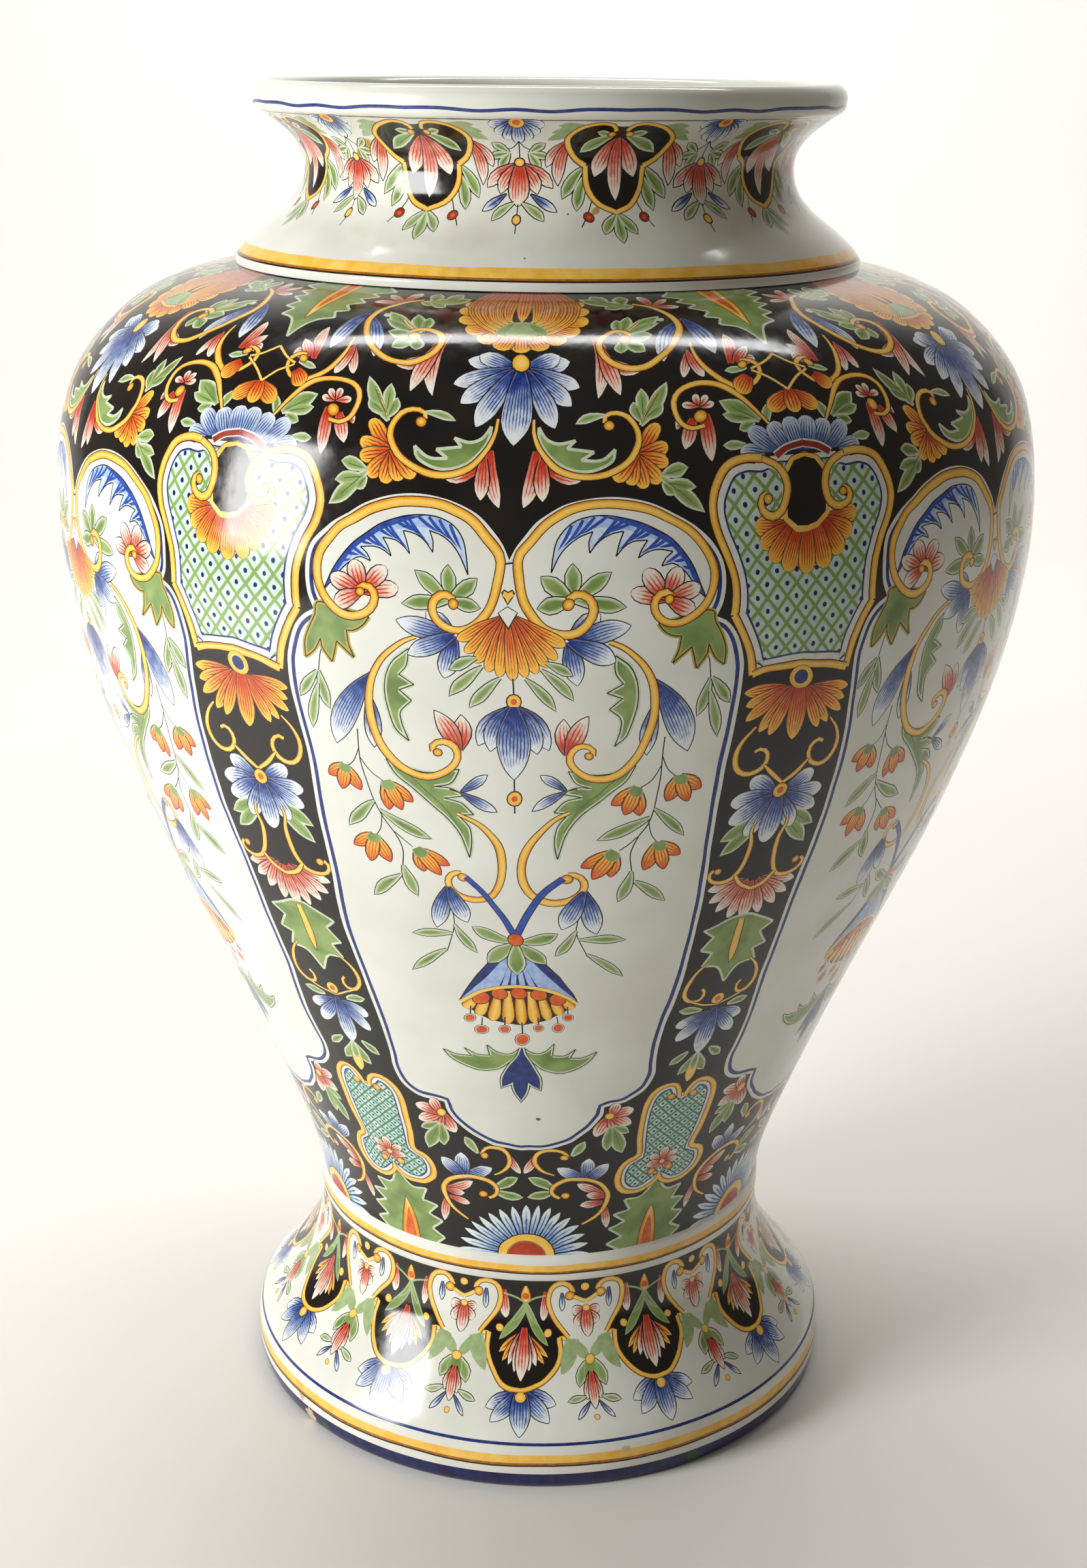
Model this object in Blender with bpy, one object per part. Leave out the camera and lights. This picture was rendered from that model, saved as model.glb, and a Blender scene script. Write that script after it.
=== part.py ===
"""Faience baluster vase: one hollow turned solid on a bell foot.

Metres, +Z up. The origin is the centre of the foot's underside.
"""
import math

import bmesh
import bpy
from mathutils import Vector

# heights, stacked from the ground up
FOOT_HEIGHT = 0.0862
RING_HEIGHT = 0.0133
BELLY_RISE = 0.3305
SHOULDER_RISE = 0.0958
NECK_HEIGHT = 0.0624
LIP_HEIGHT = 0.0118

# radii of the outer face
BASE_RADIUS = 0.1368
FOOT_RADIUS = 0.1398
WAIST_RADIUS = 0.1060
BELLY_RADIUS = 0.2132
SHOULDER_RADIUS = 0.1340
COLLAR_RADIUS = 0.1336
THROAT_RADIUS = 0.1039
NECK_TOP_RADIUS = 0.1222
LIP_RADIUS = 0.1250

# small forms of the outer face
BASE_BAND_HEIGHT = 0.0110
RING_PROUD = 0.0009
COLLAR_EDGE_HEIGHT = 0.0030

# thickness of the ware
WALL = 0.0090
FLOOR_THICKNESS = 0.0120
FOOT_RING_WIDTH = 0.0110
LIP_THICKNESS = 0.0100

# fineness of the turned mesh
SEGMENTS = 64
AXIS_TOLERANCE = 0.0001
SHARP_ANGLE = math.radians(40.0)

GLAZE_COLOUR = (0.80, 0.82, 0.77, 1.0)
GLAZE_ROUGHNESS = 0.12

# levels that follow from the heights
RING_LEVEL = FOOT_HEIGHT
WAIST_LEVEL = RING_LEVEL + RING_HEIGHT
BELLY_LEVEL = WAIST_LEVEL + BELLY_RISE
SHOULDER_LEVEL = BELLY_LEVEL + SHOULDER_RISE
LIP_LEVEL = SHOULDER_LEVEL + NECK_HEIGHT
LIP_MIDDLE = LIP_LEVEL + LIP_HEIGHT / 2

# a form's stations: share of its height, then share of its change of radius
FOOT_FORM = ((0.0, 0.0), (0.11, 0.015), (0.18, 0.085), (0.28, 0.27), (0.385, 0.462),
             (0.49, 0.642), (0.60, 0.795), (0.71, 0.902), (0.83, 0.968), (1.0, 1.0))
LOWER_BODY_FORM = ((0.0, 0.0), (0.065, 0.043), (0.280, 0.297), (0.607, 0.729), (0.825, 0.940), (1.0, 1.0))
UPPER_BODY_FORM = ((0.0, 0.0), (0.52, 0.115), (0.81, 0.405), (0.935, 0.690), (1.0, 1.0))
LOWER_NECK_FORM = ((0.0, 0.0), (0.09, 0.08), (0.30, 0.36), (0.52, 0.715), (0.74, 0.93), (1.0, 1.0))
UPPER_NECK_FORM = ((0.0, 0.0), (0.28, 0.066), (0.55, 0.28), (0.80, 0.645), (1.0, 1.0))
THROAT_SHARE = 0.625


def stations(form, start, end):
    """Turn a form's shares into radius and height between two named points."""
    return [Vector((start[0] + across * (end[0] - start[0]), start[1] + up * (end[1] - start[1])))
            for up, across in form]


def curve_through(points, steps):
    """Points on a smooth curve through the stations, with the given steps in each stretch."""
    ends = [2.0 * points[0] - points[1]] + list(points) + [2.0 * points[-1] - points[-2]]
    line = []
    for before, start, end, after in zip(ends, ends[1:], ends[2:], ends[3:]):
        knot_a = max((start - before).length, 1e-9) ** 0.5
        knot_b = max((end - start).length, 1e-9) ** 0.5
        knot_c = max((after - end).length, 1e-9) ** 0.5
        leave = ((start - before) / knot_a - (end - before) / (knot_a + knot_b) + (end - start) / knot_b) * knot_b
        arrive = ((end - start) / knot_b - (after - start) / (knot_b + knot_c) + (after - end) / knot_c) * knot_b
        for step in range(steps):
            t = step / steps
            line.append((2 * t ** 3 - 3 * t ** 2 + 1) * start + (t ** 3 - 2 * t ** 2 + t) * leave
                        + (3 * t ** 2 - 2 * t ** 3) * end + (t ** 3 - t ** 2) * arrive)
    line.append(points[-1].copy())
    return line


def arc(centre, radii, start_deg, end_deg, steps):
    """Points on an elliptical arc, both ends included."""
    line = []
    for step in range(steps + 1):
        angle = math.radians(start_deg + (end_deg - start_deg) * step / steps)
        line.append(Vector((centre[0] + radii[0] * math.cos(angle), centre[1] + radii[1] * math.sin(angle))))
    return line


def body_line():
    """Outer line of the body, from the waist over the belly to the shoulder's top."""
    lower = stations(LOWER_BODY_FORM, (WAIST_RADIUS, WAIST_LEVEL), (BELLY_RADIUS, BELLY_LEVEL))
    upper = stations(UPPER_BODY_FORM, (BELLY_RADIUS, BELLY_LEVEL), (SHOULDER_RADIUS, SHOULDER_LEVEL))
    return curve_through(lower + upper[1:], 2)


def neck_line():
    """Outer line of the neck, from the collar's edge in to the throat and out under the lip."""
    collar = (COLLAR_RADIUS, SHOULDER_LEVEL + COLLAR_EDGE_HEIGHT)
    throat = (THROAT_RADIUS, collar[1] + THROAT_SHARE * (LIP_LEVEL - collar[1]))
    lower = stations(LOWER_NECK_FORM, collar, throat)
    upper = stations(UPPER_NECK_FORM, throat, (NECK_TOP_RADIUS, LIP_LEVEL))
    return curve_through(lower + upper[1:], 1)


def outer_line():
    """The whole outer face, from the foot's edge up and over the lip."""
    base = arc((BASE_RADIUS, BASE_BAND_HEIGHT), (FOOT_RADIUS - BASE_RADIUS, BASE_BAND_HEIGHT), -90, 0, 2)
    foot = curve_through(stations(FOOT_FORM, (FOOT_RADIUS, BASE_BAND_HEIGHT), (WAIST_RADIUS, RING_LEVEL)), 1)
    ring = arc((WAIST_RADIUS, RING_LEVEL + RING_HEIGHT / 2), (RING_PROUD, RING_HEIGHT / 2), -90, 90, 4)
    collar = [Vector((COLLAR_RADIUS, SHOULDER_LEVEL))]
    lip_under = arc((NECK_TOP_RADIUS, LIP_MIDDLE), (LIP_RADIUS - NECK_TOP_RADIUS, LIP_HEIGHT / 2), -90, 0, 2)
    lip_crown = arc((LIP_RADIUS - LIP_THICKNESS / 2, LIP_MIDDLE), (LIP_THICKNESS / 2, LIP_HEIGHT / 2), 0, 180, 6)
    return base + foot[1:] + ring[1:] + body_line()[1:] + collar + neck_line() + lip_under[1:] + lip_crown[1:]


def inset(line, distance):
    """Move each point of an outer line inwards, square to the line."""
    moved = []
    for index, point in enumerate(line):
        along = line[min(index + 1, len(line) - 1)] - line[max(index - 1, 0)]
        along.normalize()
        moved.append(point + distance * Vector((-along.y, along.x)))
    return moved


def inner_line():
    """The inside, from under the lip down to the middle of the floor."""
    lip_inside = LIP_RADIUS - LIP_THICKNESS
    neck = [point for point in inset(neck_line(), WALL)[2:-1] if point.x < lip_inside - WALL / 4]
    neck.reverse()
    body = [point for point in inset(body_line(), WALL)[2::2] if point.y < SHOULDER_LEVEL - WALL / 2]
    body.reverse()
    floor_edge = WAIST_RADIUS - WALL
    floor = [Vector((floor_edge, WAIST_LEVEL + WALL / 2)),
             Vector((floor_edge - WALL / 2, WAIST_LEVEL)),
             Vector((0.0, WAIST_LEVEL))]
    return neck + body + floor


def underside_line():
    """The hollow under the foot, from the middle of the floor's underside out to the foot ring."""
    ceiling = WAIST_LEVEL - FLOOR_THICKNESS
    foot = stations(FOOT_FORM, (FOOT_RADIUS, BASE_BAND_HEIGHT), (WAIST_RADIUS, RING_LEVEL))
    wall = [point for point in inset(foot, WALL)[2:-1:2] if point.y < ceiling - WALL / 2]
    wall.reverse()
    ring_inside = BASE_RADIUS - FOOT_RING_WIDTH
    return [Vector((0.0, ceiling)), Vector((WAIST_RADIUS - WALL, ceiling))] + wall + [Vector((ring_inside, 0.0))]


def glaze_material():
    """White tin glaze."""
    material = bpy.data.materials.new("white_tin_glaze")
    material.use_nodes = True
    shader = material.node_tree.nodes["Principled BSDF"]
    shader.inputs["Base Color"].default_value = GLAZE_COLOUR
    shader.inputs["Roughness"].default_value = GLAZE_ROUGHNESS
    shader.inputs["Metallic"].default_value = 0.0
    return material


def build_vase():
    """Turn the closed outline about the upright axis into one hollow solid."""
    outline = underside_line() + outer_line() + inner_line()
    form = bmesh.new()
    verts = [form.verts.new((point.x, 0.0, point.y)) for point in outline]
    edges = [form.edges.new(pair) for pair in zip(verts, verts[1:])]
    bmesh.ops.spin(form, geom=verts + edges, cent=(0, 0, 0), axis=(0, 0, 1), angle=math.tau,
                   steps=SEGMENTS, use_merge=True, use_duplicate=False)
    bmesh.ops.remove_doubles(form, verts=form.verts, dist=AXIS_TOLERANCE)
    bmesh.ops.recalc_face_normals(form, faces=form.faces)
    mesh = bpy.data.meshes.new("vase")
    form.to_mesh(mesh)
    form.free()
    mesh.shade_smooth()
    mesh.set_sharp_from_angle(angle=SHARP_ANGLE)
    mesh.materials.append(glaze_material())
    vase = bpy.data.objects.new("vase", mesh)
    bpy.context.scene.collection.objects.link(vase)
    return vase


def main():
    """Clear the scene and make the vase."""
    for old in list(bpy.data.objects):
        bpy.data.objects.remove(old, do_unlink=True)
    build_vase()


if __name__ == "__main__":
    main()
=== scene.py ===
"""Faience baluster vase: white tin glaze, painted in blue, yellow, green and red on black and white grounds.

Lengths are metres in Blender and millimetres in the painting, which is drawn flat and then laid on the wall.
"""
import math
import random

import bpy
import numpy as np
from mathutils import Matrix, Vector
from mathutils.geometry import delaunay_2d_cdt


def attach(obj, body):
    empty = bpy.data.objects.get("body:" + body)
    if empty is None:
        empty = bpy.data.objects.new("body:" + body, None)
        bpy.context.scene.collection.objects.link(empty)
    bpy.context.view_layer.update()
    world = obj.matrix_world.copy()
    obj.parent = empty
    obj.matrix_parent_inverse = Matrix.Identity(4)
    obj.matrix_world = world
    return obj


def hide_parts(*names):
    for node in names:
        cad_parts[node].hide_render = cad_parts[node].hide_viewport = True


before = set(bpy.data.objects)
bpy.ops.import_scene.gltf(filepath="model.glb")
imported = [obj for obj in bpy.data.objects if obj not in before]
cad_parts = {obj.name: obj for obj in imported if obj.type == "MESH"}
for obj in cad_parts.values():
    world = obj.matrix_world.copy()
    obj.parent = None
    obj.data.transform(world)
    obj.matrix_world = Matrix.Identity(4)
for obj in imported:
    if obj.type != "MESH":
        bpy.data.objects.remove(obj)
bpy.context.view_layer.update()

bl_info = {
    "name": "Faience Vase",
    "version": (1, 0, 0),
    "blender": (4, 5, 0),
    "location": "View3D > Sidebar > Faience",
    "description": "Turns, glazes and paints a faience baluster vase",
    "category": "Add Mesh",
}

MM = 0.001
PHOTO_HEIGHT = 2302

# the turned form, the same sizes as the solid's
FOOT_HEIGHT = 0.0862
RING_HEIGHT = 0.0133
BELLY_RISE = 0.3305
SHOULDER_RISE = 0.0958
NECK_HEIGHT = 0.0624
LIP_HEIGHT = 0.0118
BASE_RADIUS = 0.1368
FOOT_RADIUS = 0.1398
WAIST_RADIUS = 0.1060
BELLY_RADIUS = 0.2132
SHOULDER_RADIUS = 0.1340
COLLAR_RADIUS = 0.1336
THROAT_RADIUS = 0.1039
NECK_TOP_RADIUS = 0.1222
LIP_RADIUS = 0.1250
BASE_BAND_HEIGHT = 0.0110
RING_PROUD = 0.0009
COLLAR_EDGE_HEIGHT = 0.0030
WALL = 0.0090
FLOOR_THICKNESS = 0.0120
FOOT_RING_WIDTH = 0.0110
LIP_THICKNESS = 0.0100

WAIST_LEVEL = FOOT_HEIGHT + RING_HEIGHT
BELLY_LEVEL = WAIST_LEVEL + BELLY_RISE
SHOULDER_LEVEL = BELLY_LEVEL + SHOULDER_RISE
LIP_LEVEL = SHOULDER_LEVEL + NECK_HEIGHT
LIP_MIDDLE = LIP_LEVEL + LIP_HEIGHT / 2

FOOT_FORM = ((0.0, 0.0), (0.11, 0.015), (0.18, 0.085), (0.28, 0.27), (0.385, 0.462),
             (0.49, 0.642), (0.60, 0.795), (0.71, 0.902), (0.83, 0.968), (1.0, 1.0))
LOWER_BODY_FORM = ((0.0, 0.0), (0.065, 0.043), (0.280, 0.297), (0.607, 0.729), (0.825, 0.940), (1.0, 1.0))
UPPER_BODY_FORM = ((0.0, 0.0), (0.52, 0.115), (0.81, 0.405), (0.935, 0.690), (1.0, 1.0))
LOWER_NECK_FORM = ((0.0, 0.0), (0.09, 0.08), (0.30, 0.36), (0.52, 0.715), (0.74, 0.93), (1.0, 1.0))
UPPER_NECK_FORM = ((0.0, 0.0), (0.28, 0.066), (0.55, 0.28), (0.80, 0.645), (1.0, 1.0))
THROAT_SHARE = 0.625

# the turning
TURNED_SEGMENTS = 160
CREASE_ANGLE = math.radians(4.0)
SMOOTH_ANGLE = math.radians(40.0)

# the painting, in millimetres: its lift off the glaze, what outlines add, and how finely it is cut
GLAZE_LIFT = 0.16
TIP_ALLOWANCE = 0.6
LINE_ALLOWANCE = 0.22
LIP_REACH = 3.0
LINE_STEP = 2.0
SCROLL_STEP = 2.4
LONGEST_EDGE = 4.5
SEAM_TOLERANCE = 0.03
BODY_GRID = 5.5
EDGE_GRID = 5.0
COARSE = 8

# how often each ornament repeats round the vase
BODY_REPEATS = 6
NECK_REPEATS = 9
FOOT_REPEATS = 12

# where the middle of each ornament stands, in degrees from the front
BODY_AXIS = -3.4
NECK_AXIS = -6.2
FOOT_AXIS = -3.5

# the painter's drift: size in millimetres, least and most waves round the wall, and their length up it
DRIFT = ((0.75, (5, 13), (90, 160)), (0.42, (17, 34), (35, 70)), (0.16, (60, 90), (14, 22)))
CALM_REACH = 9.0

# the glaze and the stage
GLAZE_IOR = 1.52
GLAZE_ROUGHNESS = 0.09
FLOOR_SIZE = 6.0
SWEEP_HEIGHT = 4.0
SWEEP_RADIUS = 1.2
ROOM_COLOUR = "#fff0df"

# the camera: its place in metres, its turn in radians and its focal length in the photograph's pixels
CAMERA_PLACE = (-0.0031, -0.9732, 0.6144)
YAW, PITCH, ROLL = 0.00339, 0.32461, 0.00937
FOCAL_PIXELS = 3227.0
SENSOR_HEIGHT = 24.0


def stations(form, start, end):
    """Turn a form's shares into radius and height between two named points."""
    return [Vector((start[0] + across * (end[0] - start[0]), start[1] + up * (end[1] - start[1])))
            for up, across in form]


def curve_through(points, steps):
    """Points on a smooth curve through the given ones, with the given steps in each stretch."""
    ends = [2.0 * points[0] - points[1]] + list(points) + [2.0 * points[-1] - points[-2]]
    line = []
    for before, start, end, after in zip(ends, ends[1:], ends[2:], ends[3:]):
        knot_a = max((start - before).length, 1e-9) ** 0.5
        knot_b = max((end - start).length, 1e-9) ** 0.5
        knot_c = max((after - end).length, 1e-9) ** 0.5
        slope = (end - start) / knot_b
        leave = ((start - before) / knot_a - (end - before) / (knot_a + knot_b) + slope) * knot_b
        arrive = (slope - (after - start) / (knot_b + knot_c) + (after - end) / knot_c) * knot_b
        for step in range(steps):
            t = step / steps
            line.append((2 * t ** 3 - 3 * t ** 2 + 1) * start + (t ** 3 - 2 * t ** 2 + t) * leave
                        + (3 * t ** 2 - 2 * t ** 3) * end + (t ** 3 - t ** 2) * arrive)
    line.append(points[-1].copy())
    return line


def arc(centre, radii, start_deg, end_deg, steps):
    """Points on an elliptical arc, both ends included."""
    line = []
    for step in range(steps + 1):
        angle = math.radians(start_deg + (end_deg - start_deg) * step / steps)
        line.append(Vector((centre[0] + radii[0] * math.cos(angle), centre[1] + radii[1] * math.sin(angle))))
    return line


def foot_line(steps):
    """Outer line of the bell foot, from the base band to the waist."""
    return curve_through(stations(FOOT_FORM, (FOOT_RADIUS, BASE_BAND_HEIGHT), (WAIST_RADIUS, FOOT_HEIGHT)),
                         steps)


def body_line(steps):
    """Outer line of the body, from the waist over the belly to the shoulder's top."""
    lower = stations(LOWER_BODY_FORM, (WAIST_RADIUS, WAIST_LEVEL), (BELLY_RADIUS, BELLY_LEVEL))
    upper = stations(UPPER_BODY_FORM, (BELLY_RADIUS, BELLY_LEVEL), (SHOULDER_RADIUS, SHOULDER_LEVEL))
    return curve_through(lower + upper[1:], steps)


def neck_line(steps):
    """Outer line of the neck, from the collar's edge in to the throat and out under the lip."""
    collar = (COLLAR_RADIUS, SHOULDER_LEVEL + COLLAR_EDGE_HEIGHT)
    throat = (THROAT_RADIUS, collar[1] + THROAT_SHARE * (LIP_LEVEL - collar[1]))
    lower = stations(LOWER_NECK_FORM, collar, throat)
    upper = stations(UPPER_NECK_FORM, throat, (NECK_TOP_RADIUS, LIP_LEVEL))
    return curve_through(lower + upper[1:], steps)


def outer_line():
    """The whole outer face, from the foot's edge up and over the lip."""
    base = arc((BASE_RADIUS, BASE_BAND_HEIGHT), (FOOT_RADIUS - BASE_RADIUS, BASE_BAND_HEIGHT), -90, 0, 6)
    ring = arc((WAIST_RADIUS, FOOT_HEIGHT + RING_HEIGHT / 2), (RING_PROUD, RING_HEIGHT / 2), -90, 90, 8)
    collar = [Vector((COLLAR_RADIUS, SHOULDER_LEVEL))]
    lip_under = arc((NECK_TOP_RADIUS, LIP_MIDDLE), (LIP_RADIUS - NECK_TOP_RADIUS, LIP_HEIGHT / 2), -90, 0, 5)
    lip_crown = arc((LIP_RADIUS - LIP_THICKNESS / 2, LIP_MIDDLE), (LIP_THICKNESS / 2, LIP_HEIGHT / 2),
                    0, 180, 16)
    return (base + foot_line(3)[1:] + ring[1:] + body_line(6)[1:] + collar + neck_line(3)
            + lip_under[1:] + lip_crown[1:])


def inset(line, distance):
    """Move each point of an outer line inwards, square to the line."""
    moved = []
    for index, point in enumerate(line):
        along = line[min(index + 1, len(line) - 1)] - line[max(index - 1, 0)]
        along.normalize()
        moved.append(point + distance * Vector((-along.y, along.x)))
    return moved


def inner_line():
    """The inside, from under the lip down to the middle of the floor."""
    lip_inside = LIP_RADIUS - LIP_THICKNESS
    neck = [point for point in inset(neck_line(2), WALL)[4:-1] if point.x < lip_inside - WALL / 4]
    neck.reverse()
    body = [point for point in inset(body_line(3), WALL)[3:] if point.y < SHOULDER_LEVEL - WALL / 2]
    body.reverse()
    floor_edge = WAIST_RADIUS - WALL
    floor = [Vector((floor_edge, WAIST_LEVEL + WALL / 2)), Vector((floor_edge - WALL / 2, WAIST_LEVEL)),
             Vector((0.0, WAIST_LEVEL))]
    return neck + body + floor


def underside_line():
    """The hollow under the foot, from the middle of the floor's underside out to the foot ring."""
    ceiling = WAIST_LEVEL - FLOOR_THICKNESS
    wall = [point for point in inset(foot_line(2), WALL)[4:-1] if point.y < ceiling - WALL / 2]
    wall.reverse()
    return [Vector((0.0, ceiling)), Vector((WAIST_RADIUS - WALL, ceiling))] + wall + [
        Vector((BASE_RADIUS - FOOT_RING_WIDTH, 0.0))]


class Wall:
    """The outer face by its length in millimetres, measured up the wall from the foot's edge."""

    def __init__(self):
        line = np.array([(point.x, point.y) for point in outer_line()]) / MM
        steps = np.diff(line, axis=0)
        lengths = np.hypot(steps[:, 0], steps[:, 1])
        self.s = np.concatenate([[0.0], np.cumsum(lengths)])
        self.r = line[:, 0]
        self.z = line[:, 1]
        across = np.column_stack([steps[:, 1], -steps[:, 0]]) / lengths[:, None]
        bends = across[:-1] + across[1:]
        self.normals = np.vstack([across[:1], bends, across[-1:]])
        self.normals /= np.linalg.norm(self.normals, axis=1)[:, None]
        turns = np.abs(np.diff(np.unwrap(np.arctan2(steps[:, 1], steps[:, 0]))))
        self.creases = [self.s[index + 1] for index, turn in enumerate(turns) if turn > CREASE_ANGLE]

    def level(self, height):
        """Length up the wall at a height in metres, below the lip's crown."""
        rising = int(np.argmax(self.z))
        return float(np.interp(height / MM, self.z[:rising], self.s[:rising]))

    def radius(self, s):
        """The wall's radius in millimetres at a length up it."""
        return np.interp(s, self.s, self.r)

    def place(self, theta, s, lift):
        """Points in metres on the wall, lifted off it, and the wall's normals there."""
        columns = (self.r, self.z, *self.normals.T)
        radius, height, out, up = (np.interp(s, self.s, column) for column in columns)
        size = np.hypot(out, up)
        out, up = out / size, up / size
        reach = radius + lift * out
        points = np.column_stack([reach * np.sin(theta), -reach * np.cos(theta), height + lift * up]) * MM
        normals = np.column_stack([out * np.sin(theta), -out * np.cos(theta), up])
        return points, normals


WALL_FACE = Wall()
FOOT_TOP = WALL_FACE.level(WAIST_LEVEL)
BODY_TOP = WALL_FACE.level(SHOULDER_LEVEL)
PAINT_TOP = WALL_FACE.level(LIP_MIDDLE) + LIP_REACH

# paints that look the same all over, whatever the stroke
PLAIN_PAINTS = {"black_ground", "white_ground", "red_spot", "leaf_margin", "leaf_vein", "pale_green",
                "navy_line", "black_line", "white_line", "maroon", "pale_cobalt", "blue_band", "mustard",
                "base_band", "yellow_band", "amber_edge"}


class Hand:
    """The painter's small drift, so that no two repeats are quite the same."""

    def __init__(self, seed):
        chance = random.Random(seed)
        self.waves = []
        for size, turns, period in DRIFT:
            for axis in (0, 0, 1, 1):
                self.waves.append((axis, size / 2, chance.randint(*turns), chance.uniform(*period),
                                   chance.uniform(0, math.tau), chance.uniform(0, math.tau)))

    def drift(self, theta, s):
        """Shift along and up the wall in millimetres. The shift up the wall dies away at the wall's creases.
        """
        shift = [np.zeros_like(s), np.zeros_like(s)]
        for axis, size, turns, period, start, lean in self.waves:
            up = math.tau * s / period
            shift[axis] = shift[axis] + size * np.sin(turns * theta + start) * np.cos(up + lean)
            shift[axis] = shift[axis] + size * np.sin(turns * theta + lean + up)
        near = np.min(np.abs(s[:, None] - np.array(WALL_FACE.creases)[None, :]), axis=1)
        calm = np.clip((near - 0.5) / CALM_REACH, 0.0, 1.0)
        return shift[0], shift[1] * calm


HAND = Hand(11)


def smooth(points, spacing):
    """A smooth line through given points, about evenly spaced."""
    vectors = [Vector(point) for point in points]
    if len(vectors) == 2:
        fine = vectors
    else:
        fine = curve_through(vectors, 6)
    lengths = np.concatenate([[0.0], np.cumsum([(b - a).length for a, b in zip(fine, fine[1:])])])
    count = max(2, int(math.ceil(lengths[-1] / spacing)) + 1)
    wanted = np.linspace(0.0, lengths[-1], count)
    return [Vector((x, y)) for x, y in zip(np.interp(wanted, lengths, [p.x for p in fine]),
                                           np.interp(wanted, lengths, [p.y for p in fine]))]


def runs(points):
    """Split a line of points at its corners, the points that carry a third value."""
    parts = [[points[0][:2]]]
    for point in points[1:]:
        parts[-1].append(point[:2])
        if len(point) > 2:
            parts.append([point[:2]])
    return [part for part in parts if len(part) > 1]


def outline_of(points, spacing):
    """A smooth line through given points that keeps the corners."""
    line = []
    for part in runs(points):
        line += smooth(part, spacing)[:-1]
    return line + [Vector(points[-1][:2])]


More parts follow.
